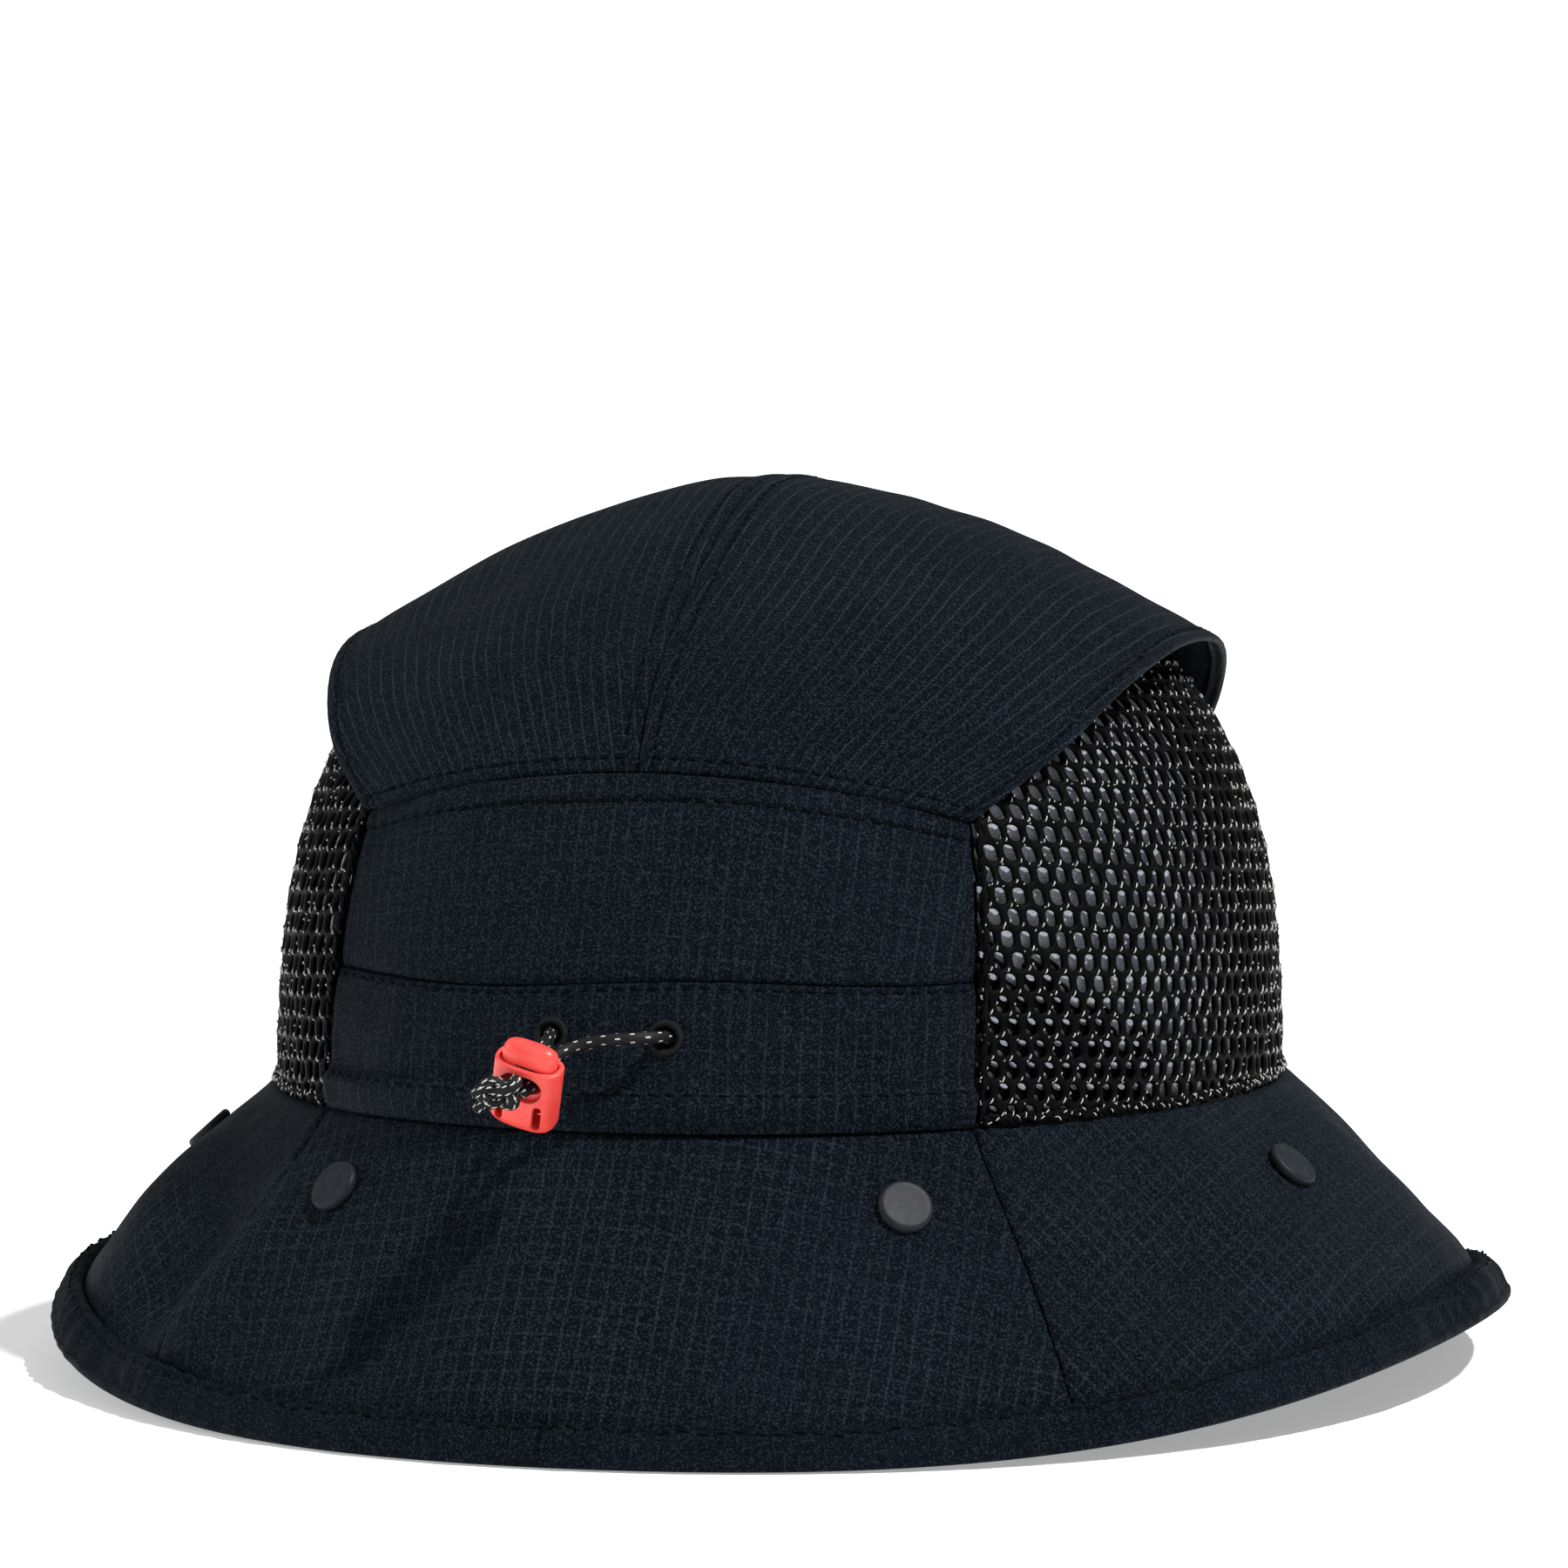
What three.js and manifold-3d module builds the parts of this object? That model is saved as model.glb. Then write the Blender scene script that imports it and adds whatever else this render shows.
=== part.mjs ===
// A bucket hat with a raised crown top, mesh sides, a drawcord with a cord lock at the back and snaps on the brim.
// Millimetres, +Z up. The wearer looks along -Y, so the drawcord is at the +Y end and the wearer's right is -X.
import * as THREE from 'three';
import { mergeVertices } from 'three/addons/utils/BufferGeometryUtils.js';
import Module from 'manifold-3d';

const wasm = await Module();
wasm.setup();

// Driving dimensions.
const hatHeight = 152;            // table to the top of the crown
const brimRise = 49;              // table to the seam between crown and brim
const crownHalfWidth = 85;        // crown at that seam, across the head
const crownHalfLength = 102;      // crown at that seam, front to back
const brimHalfWidth = 124.5;
const brimHalfLength = 134;
const sideLift = 11;              // how far the brim's edge stands off the table at the sides
const innerCrownHeight = 96.5;    // seam to the top of the inner crown, under the crown top
const seamAngle = 40;             // degrees from the centre line to the seams beside the mesh and in the brim
const archHeight = 56.5;          // seam to the middle of the arched seam under the crown top
const archDrop = 8;               // how far that arch falls to its ends
const channelHeight = 23;         // height of the drawcord channel
const seamGap = 0.3;              // clearance between pieces that are sewn together

// Fabric layers as depths below the outer surface: where each layer starts and ends.
const shellLayer = [0, 1.0];
const gussetLayer = [1.6, 2.1];
const liningLayer = [2.5, 3.1];
const brimLayer = [0, 0.9];
const underbrimLayer = [1.45, 2.1];
const sweatbandDepth = 3.6;
const sweatbandExtraAtBack = 2.4; // it stands clear of the cord in the channel
const sweatbandThickness = 1.0;
const sweatbandHeight = 30;

const cordDiameter = 2.0;
const eyeletOffset = 9.6;         // from the centre line
const eyeletRise = 64;            // height above the table
const eyeletHoleRadius = 1.9;
const eyeletRingRadius = 2.8;

const snapRadius = 4.5;
const postRadius = 0.8;
const postHoleRadius = 1.3;

const rad = THREE.MathUtils.degToRad;
const point = (x, y, z) => new THREE.Vector3(x, y, z);

// ---- Surfaces. Angles run from the centre back (+Y) towards the wearer's right (-X), in radians. ----

const crownCurve = { sidePower: 2.1, lean: 0.1137, curl: 0.003533, tuckStart: 50, tuck: 0.0156 };

// How far the inner crown reaches to the back, at a rise above the seam.
function crownReach(rise) {
  const over = Math.max(0, rise - crownCurve.tuckStart);
  return crownHalfLength - crownCurve.lean * rise - crownCurve.curl * rise ** 2 - crownCurve.tuck * over ** 2;
}

// A point of the inner crown. climb is 0 at the brim seam and PI / 2 on the ridge.
function crownPoint(angle, climb) {
  const rise = innerCrownHeight * Math.sin(climb) ** (2 / 3);
  const halfWidth = crownHalfWidth * Math.cos(climb) ** (2 / crownCurve.sidePower);
  return point(-halfWidth * Math.sin(angle), crownReach(rise) * Math.cos(angle), brimRise + rise);
}

// The climb that belongs to a rise above the seam.
const climbAt = (rise) => Math.asin(Math.min(1, rise / innerCrownHeight) ** 1.5);

// The rise of the arched seam under the crown top.
const archRise = (angle) => archHeight - archDrop * (angle / rad(seamAngle)) ** 2;

const edgeLift = (angle) => sideLift * Math.max(0, Math.sin(angle) ** 2 - 0.04) ** 2 / 0.96 ** 2;

// A point of the brim's upper surface. reach is 0 at the crown and 1 at the edge.
function brimPoint(angle, reach) {
  const side = Math.sin(angle) ** 2;
  const fall = side * (0.65 * reach + 0.35 * reach ** 2) + (1 - side) * (1.12 * reach - 0.12 * reach ** 2);
  return point(
    -(crownHalfWidth + (brimHalfWidth - crownHalfWidth) * reach) * Math.sin(angle),
    (crownHalfLength + (brimHalfLength - crownHalfLength) * reach) * Math.cos(angle),
    brimRise - (brimRise - edgeLift(angle)) * fall,
  );
}

// The crown top's ridge and its free side edge, from the middle of the hat to the arched seam.
const cornerLift = 1.4;   // the crown top's corners lie over the mesh
const archEnd = crownPoint(rad(seamAngle), climbAt(archRise(rad(seamAngle))));
const ridgeLine = new THREE.CatmullRomCurve3([
  point(0, -18, hatHeight - 1.6), point(0, 0, hatHeight), point(0, 18, hatHeight - 1.6),
  point(0, 32, hatHeight - 6.2), point(0, 49.6, hatHeight - 14.9), point(0, 62, hatHeight - 22.5),
  point(0, 71.6, hatHeight - 29.6), point(0, 78.6, hatHeight - 37),
  crownPoint(0, climbAt(archHeight)),
], false, 'chordal');
const freeEdge = new THREE.CatmullRomCurve3([
  point(73.4, -18, hatHeight - 28.6), point(74, 0, hatHeight - 27.4), point(73.4, 18, hatHeight - 28.6),
  point(70.2, 36, hatHeight - 33.6), point(62.2, 56, hatHeight - 45),
  point(cornerLift * Math.sin(rad(seamAngle)), cornerLift * Math.cos(rad(seamAngle)), 0).add(
    point(-archEnd.x, archEnd.y, archEnd.z)),
], false, 'chordal');

// A curve's point at along = 0 in the middle of the hat and 1 at its end; its first stretch is only for symmetry.
function alongCurve(curve, along) {
  const middle = 1 / (curve.points.length - 1);
  return curve.getPoint(middle + (1 - middle) * Math.min(1, along));
}

// A point of the crown top. along runs from -1 at the front to 1 at the back, across from -1 to 1.
function topPoint(along, across) {
  const ridge = alongCurve(ridgeLine, Math.abs(along));
  const edge = alongCurve(freeEdge, Math.abs(along));
  const endness = Math.abs(along) ** 3;
  const out = Math.abs(across);
  const turn = rad(seamAngle);
  const width = out * (1 - endness) + Math.sin(turn * out) / Math.sin(turn) * endness;
  const forward = (1 - Math.cos(turn * out)) / (1 - Math.cos(turn));
  const drop = out ** 1.7 * (1 - endness) + out ** 2 * endness;
  return point(
    Math.sign(across) * edge.x * width,
    Math.sign(along) * (ridge.y - (ridge.y - edge.y) * forward),
    ridge.z - (ridge.z - edge.z) * drop,
  );
}

// ---- Solids from surfaces ----

const hatHeart = point(0, 0, 30);   // every surface faces away from here

function surfaceNormal(surface, u, v) {
  const step = 1e-3;
  const uBack = Math.max(0, u - step), uOn = Math.min(1, u + step);
  const vBack = Math.max(0, v - step), vOn = Math.min(1, v + step);
  const alongU = surface(uOn, v).sub(surface(uBack, v));
  const alongV = surface(u, vOn).sub(surface(u, vBack));
  const normal = alongU.cross(alongV).normalize();
  return normal.dot(surface(u, v).sub(hatHeart)) < 0 ? normal.negate() : normal;
}

function geometryOf(points, faces) {
  const positions = faces.flatMap((face) => face.flatMap((i) => points[i].toArray()));
  let volume = 0;
  for (const [a, b, c] of faces) volume += points[a].dot(points[b].clone().cross(points[c]));
  if (volume < 0) {
    for (let i = 0; i < positions.length; i += 9) {
      const second = positions.slice(i + 3, i + 6);
      positions.splice(i + 3, 6, ...positions.slice(i + 6, i + 9), ...second);
    }
  }
  const geometry = new THREE.BufferGeometry();
  geometry.setAttribute('position', new THREE.Float32BufferAttribute(positions, 3));
  geometry.computeVertexNormals();
  return geometry;
}

// A thin closed solid that follows surface(u, v), u and v from 0 to 1, between two depths below it.
function clothSolid(surface, depths, uSteps, vSteps) {
  const points = [];
  const index = (layer, i, j) => (layer * (uSteps + 1) + i) * (vSteps + 1) + j;
  for (const layer of [0, 1]) {
    for (let i = 0; i <= uSteps; i++) {
      for (let j = 0; j <= vSteps; j++) {
        const u = i / uSteps, v = j / vSteps;
        points.push(surface(u, v).addScaledVector(surfaceNormal(surface, u, v), -depths[layer]));
      }
    }
  }
  const faces = [];
  const quad = (a, b, c, d) => faces.push([a, b, c], [a, c, d]);
  for (let i = 0; i < uSteps; i++) {
    for (let j = 0; j < vSteps; j++) {
      quad(index(0, i, j), index(0, i + 1, j), index(0, i + 1, j + 1), index(0, i, j + 1));
      quad(index(1, i, j + 1), index(1, i + 1, j + 1), index(1, i + 1, j), index(1, i, j));
    }
    quad(index(1, i, 0), index(1, i + 1, 0), index(0, i + 1, 0), index(0, i, 0));
    quad(index(0, i, vSteps), index(0, i + 1, vSteps), index(1, i + 1, vSteps), index(1, i, vSteps));
  }
  for (let j = 0; j < vSteps; j++) {
    quad(index(0, 0, j), index(0, 0, j + 1), index(1, 0, j + 1), index(1, 0, j));
    quad(index(1, uSteps, j), index(1, uSteps, j + 1), index(0, uSteps, j + 1), index(0, uSteps, j));
  }
  return geometryOf(points, faces);
}

// A closed ring: section(angle) gives the outline's points at each angle round the hat.
function ringSolid(section, steps) {
  const rings = Array.from({ length: steps }, (_, i) => section((i + 0.5) / steps * 2 * Math.PI));
  const sides = rings[0].length;
  const faces = [];
  for (let i = 0; i < steps; i++) {
    for (let k = 0; k < sides; k++) {
      const a = i * sides + k, b = i * sides + (k + 1) % sides;
      const c = ((i + 1) % steps) * sides + (k + 1) % sides, d = ((i + 1) % steps) * sides + k;
      faces.push([a, b, c], [a, c, d]);
    }
  }
  return geometryOf(rings.flat(), faces);
}

function toSolid(geometry) {
  const flat = geometry.index ? geometry.toNonIndexed() : geometry;
  const bare = new THREE.BufferGeometry();
  bare.setAttribute('position', flat.getAttribute('position').clone());
  const merged = mergeVertices(bare, 1e-4);
  return new wasm.Manifold(new wasm.Mesh({
    numProp: 3,
    vertProperties: merged.attributes.position.array,
    triVerts: new Uint32Array(merged.index.array),
  }));
}

function fromSolid(solid) {
  const mesh = solid.getMesh();
  const geometry = new THREE.BufferGeometry();
  geometry.setAttribute('position', new THREE.Float32BufferAttribute(mesh.vertProperties, 3));
  geometry.setIndex(new THREE.BufferAttribute(mesh.triVerts, 1));
  return geometry;
}

// The body with every cutter taken out of it.
const cutOut = (body, cutters) => fromSolid(
  cutters.reduce((solid, cutter) => solid.subtract(toSolid(cutter)), toSolid(body)),
);

// A place on a surface: where it is, and the turn that points local +Z along the surface's normal.
function placeOn(surface, u, v) {
  const normal = surfaceNormal(surface, u, v);
  const turn = new THREE.Quaternion().setFromUnitVectors(point(0, 0, 1), normal);
  return { position: surface(u, v), turn };
}

// A drill through a place, along its normal.
function drillAt(place, radius) {
  const drill = new THREE.CylinderGeometry(radius, radius, 12, 10);
  drill.rotateX(Math.PI / 2);
  return drill.applyQuaternion(place.turn).translate(...place.position.toArray());
}

// ---- Materials ----

const finish = {
  shell: new THREE.MeshStandardMaterial({ color: 0x141a24, roughness: 0.8 }),
  underbrim: new THREE.MeshStandardMaterial({ color: 0x10141b, roughness: 0.85 }),
  binding: new THREE.MeshStandardMaterial({ color: 0x12171f, roughness: 0.8 }),
  mesh: new THREE.MeshStandardMaterial({ color: 0x0a0a0c, roughness: 0.7 }),
  lining: new THREE.MeshStandardMaterial({ color: 0x7d828c, roughness: 0.9 }),
  sweatband: new THREE.MeshStandardMaterial({ color: 0x0d0f14, roughness: 0.95 }),
  label: new THREE.MeshStandardMaterial({ color: 0x23262c, roughness: 0.8 }),
  cord: new THREE.MeshStandardMaterial({ color: 0x08080a, roughness: 0.7 }),
  thread: new THREE.MeshStandardMaterial({ color: 0x07080c, roughness: 0.75 }),
  coral: new THREE.MeshStandardMaterial({ color: 0xf8524a, roughness: 0.4 }),
  steel: new THREE.MeshStandardMaterial({ color: 0xb4b6b8, roughness: 0.3, metalness: 1 }),
  snap: new THREE.MeshStandardMaterial({ color: 0x0b0d10, roughness: 0.3, metalness: 0.6 }),
};

const hat = new THREE.Group();

function add(name, geometry, material, parent = hat) {
  const mesh = new THREE.Mesh(geometry, material);
  mesh.name = name;
  parent.add(mesh);
  return mesh;
}

// ---- Crown ----

// A stretch of the crown between two angles in degrees and two rises above the brim seam.
// The rises may be functions of the angle.
function crownPatch(fromAngle, toAngle, lowRise, highRise) {
  const riseOf = (rise, angle) => (typeof rise === 'function' ? rise(angle) : rise);
  return (u, v) => {
    const angle = rad(THREE.MathUtils.lerp(fromAngle, toAngle, u));
    const low = climbAt(riseOf(lowRise, angle)), high = climbAt(riseOf(highRise, angle));
    return crownPoint(angle, THREE.MathUtils.lerp(low, high, v));
  };
}

const seamSlack = 0.12;   // degrees left beside each upright seam
const toFront = (surface) => (u, v) => surface(u, v).multiply(point(1, -1, 1));
const toLeft = (surface) => (u, v) => surface(u, v).multiply(point(-1, 1, 1));

const upperPatch = crownPatch(-seamAngle + seamSlack, seamAngle - seamSlack,
  channelHeight + seamGap / 2, (angle) => archRise(angle) - seamGap);
const lowerPatch = crownPatch(-seamAngle + seamSlack, seamAngle - seamSlack,
  seamGap, channelHeight - seamGap / 2);

// The eyelet's place on the drawcord channel, on one side of the centre line.
function eyeletPlace(side) {
  const angle = side * Math.asin(eyeletOffset / crownHalfWidth);
  const across = (angle / rad(seamAngle - seamSlack) + 1) / 2;
  const rise = eyeletRise - brimRise;
  const from = climbAt(seamGap), to = climbAt(channelHeight - seamGap / 2);
  return placeOn(lowerPatch, across, (climbAt(rise) - from) / (to - from));
}

function addCrownPanels() {
  add('rear_upper_panel', clothSolid(upperPatch, shellLayer, 10, 3), finish.shell);
  add('front_upper_panel', clothSolid(toFront(upperPatch), shellLayer, 10, 3), finish.shell);
  add('front_lower_panel', clothSolid(toFront(lowerPatch), shellLayer, 10, 2), finish.shell);
  const holes = [-1, 1].map((side) => drillAt(eyeletPlace(side), eyeletHoleRadius));
  add('rear_channel_panel', cutOut(clothSolid(lowerPatch, shellLayer, 10, 2), holes), finish.shell);
}

function addMeshSides() {
  const meshTop = 84;   // the mesh stops under the crown top
  const patch = crownPatch(seamAngle + seamSlack, 180 - seamAngle - seamSlack, seamGap, meshTop);
  add('side_mesh_right', clothSolid(patch, shellLayer, 14, 7), finish.mesh);
  add('side_mesh_left', clothSolid(toLeft(patch), shellLayer, 14, 7), finish.mesh);
}

// Dark gussets behind the mesh, where the drawcord channel's ends are sewn down.
function addGussets() {
  const gussetWidth = 22, gussetTop = 30, gussetLow = 11;
  const top = (angle) => THREE.MathUtils.mapLinear(angle,
    rad(seamAngle), rad(seamAngle + gussetWidth), gussetTop, gussetLow);
  const patch = crownPatch(seamAngle + seamSlack, seamAngle + gussetWidth, seamGap, top);
  add('channel_gusset_right', clothSolid(patch, gussetLayer, 4, 2), finish.sweatband);
  add('channel_gusset_left', clothSolid(toLeft(patch), gussetLayer, 4, 2), finish.sweatband);
}

// The lining is a full inner crown in two halves. At the front and back it starts above the sweatband.
function addLining() {
  const lowAtSides = 0.5, lowAtEnds = sweatbandHeight + 1;
  const lowRise = (angle) => {
    const sideness = THREE.MathUtils.smoothstep(Math.abs(Math.sin(angle)), 0.61, 0.67);
    return THREE.MathUtils.lerp(lowAtEnds, lowAtSides, sideness);
  };
  const ridgeClimb = Math.PI / 2 - 0.006;
  const half = (u, v) => {
    const angle = Math.PI * u;
    const climb = THREE.MathUtils.lerp(climbAt(lowRise(angle)), ridgeClimb, v ** 1.2);
    return crownPoint(angle, climb).sub(point(seamGap / 2, 0, 0));
  };
  add('crown_lining_right', clothSolid(half, liningLayer, 26, 8), finish.lining);
  add('crown_lining_left', clothSolid(toLeft(half), liningLayer, 26, 8), finish.lining);
}

function addCrownTop() {
  const seamHalf = 0.002;
  const half = (u, v) => topPoint(2 * u - 1, -THREE.MathUtils.lerp(seamHalf, 1, v));
  add('crown_top_right', clothSolid(half, shellLayer, 18, 6), finish.shell);
  add('crown_top_left', clothSolid(toLeft(half), shellLayer, 18, 6), finish.shell);
  const tapeLayer = [1.6, 2.1], tapeReach = 0.94, tapeHalfWidth = 4.5;
  const tape = (u, v) => {
    const along = tapeReach * (2 * u - 1);
    const edge = alongCurve(freeEdge, Math.abs(along));
    return topPoint(along, (2 * v - 1 || 1e-6) * tapeHalfWidth / edge.x);
  };
  add('crown_seam_tape', clothSolid(tape, tapeLayer, 14, 2), finish.binding);
}

// ---- Inside ----

// How deep the sweatband's outer face lies: deeper at the back, where the cord runs behind it.
function sweatbandFace(angle) {
  return sweatbandDepth + sweatbandExtraAtBack * Math.max(0, Math.cos(angle)) ** 4;
}

function addSweatband() {
  const low = -2.2, high = sweatbandHeight - 2;
  add('sweatband', ringSolid((angle) => {
    const outer = sweatbandFace(angle), inner = outer + sweatbandThickness;
    const at = (rise, depth) => {
      const above = Math.max(0, rise);
      const wall = crownPoint(angle, climbAt(above));
      const flat = point(-Math.sin(angle) / crownHalfWidth, Math.cos(angle) / crownHalfLength, 0).normalize();
      return wall.addScaledVector(flat, -depth).setZ(brimRise + rise);
    };
    return [at(low, outer), at(low, inner), at(high, inner), at(high, outer)];
  }, 64), finish.sweatband);
  // A blank woven label sewn to the band's inside at the back.
  const label = add('size_label', new THREE.BoxGeometry(24, 0.5, 14), finish.label);
  const face = crownHalfLength - sweatbandFace(0) - sweatbandThickness;
  label.position.set(0, face - 5.2, brimRise + 13);
  label.rotation.x = rad(8);
}

// ---- Brim ----

const bindingStart = 0.87;   // the binding covers the brim from here to its edge
const brimSeams = [-seamAngle, seamAngle, 180 - seamAngle, 180 + seamAngle, 360 - seamAngle];
const brimNames = ['rear', 'right', 'front', 'left'];
const snapPlaces = [
  { name: 'rear_right', angle: 30.5, reach: 0.235 }, { name: 'side_right', angle: 76, reach: 0.345 },
  { name: 'front_right', angle: 149.5, reach: 0.235 }, { name: 'front_left', angle: 210.5, reach: 0.235 },
  { name: 'side_left', angle: 284, reach: 0.345 }, { name: 'rear_left', angle: 329.5, reach: 0.235 },
];

function brimPatch(fromAngle, toAngle) {
  return (u, v) => brimPoint(
    rad(THREE.MathUtils.lerp(fromAngle, toAngle, u)),
    THREE.MathUtils.lerp(0.004, bindingStart - 0.008, v),
  );
}

// Where a snap sits: its angle turned into the whole brim's own coordinates.
function snapPlace({ angle, reach }) {
  return placeOn((u, v) => brimPoint(2 * Math.PI * u, v), angle / 360, reach);
}

const snapHoles = () => snapPlaces.map((snap) => drillAt(snapPlace(snap), postHoleRadius));

function addBrim() {
  for (let i = 0; i < 4; i++) {
    const patch = brimPatch(brimSeams[i] + seamSlack, brimSeams[i + 1] - seamSlack);
    add(`brim_${brimNames[i]}`, cutOut(clothSolid(patch, brimLayer, 12, 4), snapHoles()), finish.shell);
  }
  for (const [name, from] of [['underbrim_rear', -90], ['underbrim_front', 90]]) {
    const patch = brimPatch(from + seamSlack, from + 180 - seamSlack);
    add(name, cutOut(clothSolid(patch, underbrimLayer, 24, 4), snapHoles()), finish.underbrim);
  }
}

// The padded binding wraps the brim's edge. Its underside is level, and lies on the table at front and back.
function addBinding() {
  const whole = (u, v) => brimPoint(2 * Math.PI * u, v);
  add('brim_binding', ringSolid((angle) => {
    const off = (reach, height) => {
      const u = angle / (2 * Math.PI);
      return whole(u, reach).addScaledVector(surfaceNormal(whole, u, reach), height);
    };
    const edge = brimPoint(angle, 1);
    const out = point(-Math.sin(angle) / brimHalfWidth, Math.cos(angle) / brimHalfLength, 0).normalize();
    const foot = (outward, height) => edge.clone().addScaledVector(out, outward).setZ(edgeLift(angle) + height);
    return [
      off(bindingStart, 0.9), off(0.915, 1.4), off(0.96, 1.2), foot(0.8, 1.2), foot(0.2, 0),
      foot(-2.4, 0), off(0.93, -3.0), off(bindingStart, -2.6),
    ];
  }, 72), finish.binding);
}

// ---- Snaps ----

const turned = (outline, steps) => {
  const lathe = new THREE.LatheGeometry(outline.map(([r, h]) => new THREE.Vector2(r, h)), steps);
  return lathe.rotateX(Math.PI / 2);   // the axis of turning becomes +Z
};

function addSnaps() {
  const capBase = 0.5, capTop = 1.9, postEnd = -4.0, socketTop = -2.7, socketBase = -4.9;
  const cap = turned([
    [0, postEnd], [postRadius, postEnd], [postRadius, capBase], [snapRadius - 0.3, capBase],
    [snapRadius, capBase + 0.35], [snapRadius - 0.35, capTop - 0.35], [snapRadius - 1.3, capTop], [0, capTop],
  ], 14);
  const socket = turned([
    [postHoleRadius, socketTop], [postHoleRadius, socketBase], [2.4, socketBase],
    [4.0, socketBase + 1.0], [4.0, socketTop], [postHoleRadius, socketTop],
  ], 12);
  for (const snap of snapPlaces) {
    const place = snapPlace(snap);
    for (const [kind, shape] of [['cap', cap], ['socket', socket]]) {
      const mesh = add(`snap_${kind}_${snap.name}`, shape, finish.snap);
      mesh.position.copy(place.position);
      mesh.quaternion.copy(place.turn);
    }
  }
}

// ---- Drawcord and cord lock ----

// Each strand runs from its gusset along the channel, out of its eyelet and through the lock to the knot.
const cordRoutes = {
  drawcord_right: [
    [-51.4, 76.6, 60.5], [-45.0, 82.0, 60.8], [-37.5, 87.1, 61.3], [-29.6, 91.0, 62.0], [-22.8, 93.4, 62.8],
    [-17.6, 93.8, 63.4], [-14.2, 93.8, 63.8], [-11.7, 94.6, 64.0], [-10.2, 96.5, 64.1], [-9.5, 99.0, 64.2],
    [-8.5, 101.3, 64.3], [-6.4, 103.2, 64.3], [-3.4, 104.3, 64.1], [-0.3, 104.9, 63.8], [2.5, 105.7, 63.2],
    [4.6, 107.3, 62.3], [5.8, 109.9, 61.0], [6.4, 112.5, 59.7], [6.8, 115.1, 58.4], [7.3, 117.5, 57.4],
    [7.9, 119.3, 56.7],
  ],
  drawcord_left: [
    [51.4, 76.6, 60.5], [45.0, 82.0, 60.8], [37.5, 87.1, 61.3], [29.6, 91.0, 62.0], [22.8, 93.4, 62.8],
    [17.6, 93.8, 63.4], [14.2, 93.8, 63.8], [11.7, 94.6, 64.0], [10.2, 96.5, 64.1], [9.5, 99.0, 64.2],
    [8.8, 101.7, 64.1], [8.2, 104.4, 63.7], [8.0, 107.3, 62.8], [8.2, 109.9, 61.6], [8.6, 112.5, 60.3],
    [9.1, 115.1, 59.1], [9.6, 117.5, 58.0], [9.8, 118.6, 57.6],
  ],
};
const knotCentre = point(10.6, 121.7, 57.1);
const knotRadii = point(3.1, 2.7, 3.0);

function addCords() {
  for (const [name, route] of Object.entries(cordRoutes)) {
    const path = new THREE.CatmullRomCurve3(route.map((place) => point(...place)), false, 'centripetal');
    const section = new THREE.Shape();
    section.absarc(0, 0, cordDiameter / 2, 0, 2 * Math.PI);
    const steps = Math.round(path.getLength() / (2.1 * cordDiameter));
    add(name, new THREE.ExtrudeGeometry(section, { steps, curveSegments: 4, extrudePath: path }), finish.cord);
  }
  const knot = add('cord_knot', new THREE.SphereGeometry(1, 10, 8), finish.cord);
  knot.position.copy(knotCentre);
  knot.scale.copy(knotRadii);
  const ring = turned([
    [eyeletHoleRadius, 0.35], [eyeletRingRadius, 0.35], [eyeletRingRadius - 0.1, 0.85],
    [eyeletHoleRadius + 0.2, 0.95], [eyeletHoleRadius, 0.35],
  ], 12);
  for (const [name, side] of [['eyelet_right', 1], ['eyelet_left', -1]]) {
    const place = eyeletPlace(side);
    const eyelet = add(name, ring, finish.thread);
    eyelet.position.copy(place.position);
    eyelet.quaternion.copy(place.turn);
  }
}

const lock = {
  centre: point(8, 115, 58.5),       // middle of the cord hole
  pitch: -25, roll: -18.4, yaw: -8.5,
  halfWidth: 5.6, halfDepth: 3.3, wall: 0.75, clearance: 0.3,
  top: 3.3, base: -7.3, floor: -6.3, // heights from the cord hole's middle
  holeHalfWidth: 3.6, holeHalfHeight: 2.2,
  slotAt: 4.1, slotWidth: 1.2, slotLow: -6.4, slotHigh: -2.7, slotDepth: 0.6,
  domeTop: 6.8, travel: 2.5, pinchEdge: -1.0, plungerBase: -2.4,
};

// The outline of the lock's parts: an oval with fuller corners than an ellipse.
function lockOutline(halfWidth, halfDepth, corners = 28) {
  const power = 2 / 2.7;
  const outline = new THREE.Shape();
  for (let i = 0; i < corners; i++) {
    const turn = i / corners * 2 * Math.PI;
    const c = Math.cos(turn), s = Math.sin(turn);
    const x = halfWidth * Math.sign(c) * Math.abs(c) ** power, y = halfDepth * Math.sign(s) * Math.abs(s) ** power;
    if (i) outline.lineTo(x, y);
    else outline.moveTo(x, y);
  }
  return outline;
}

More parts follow.
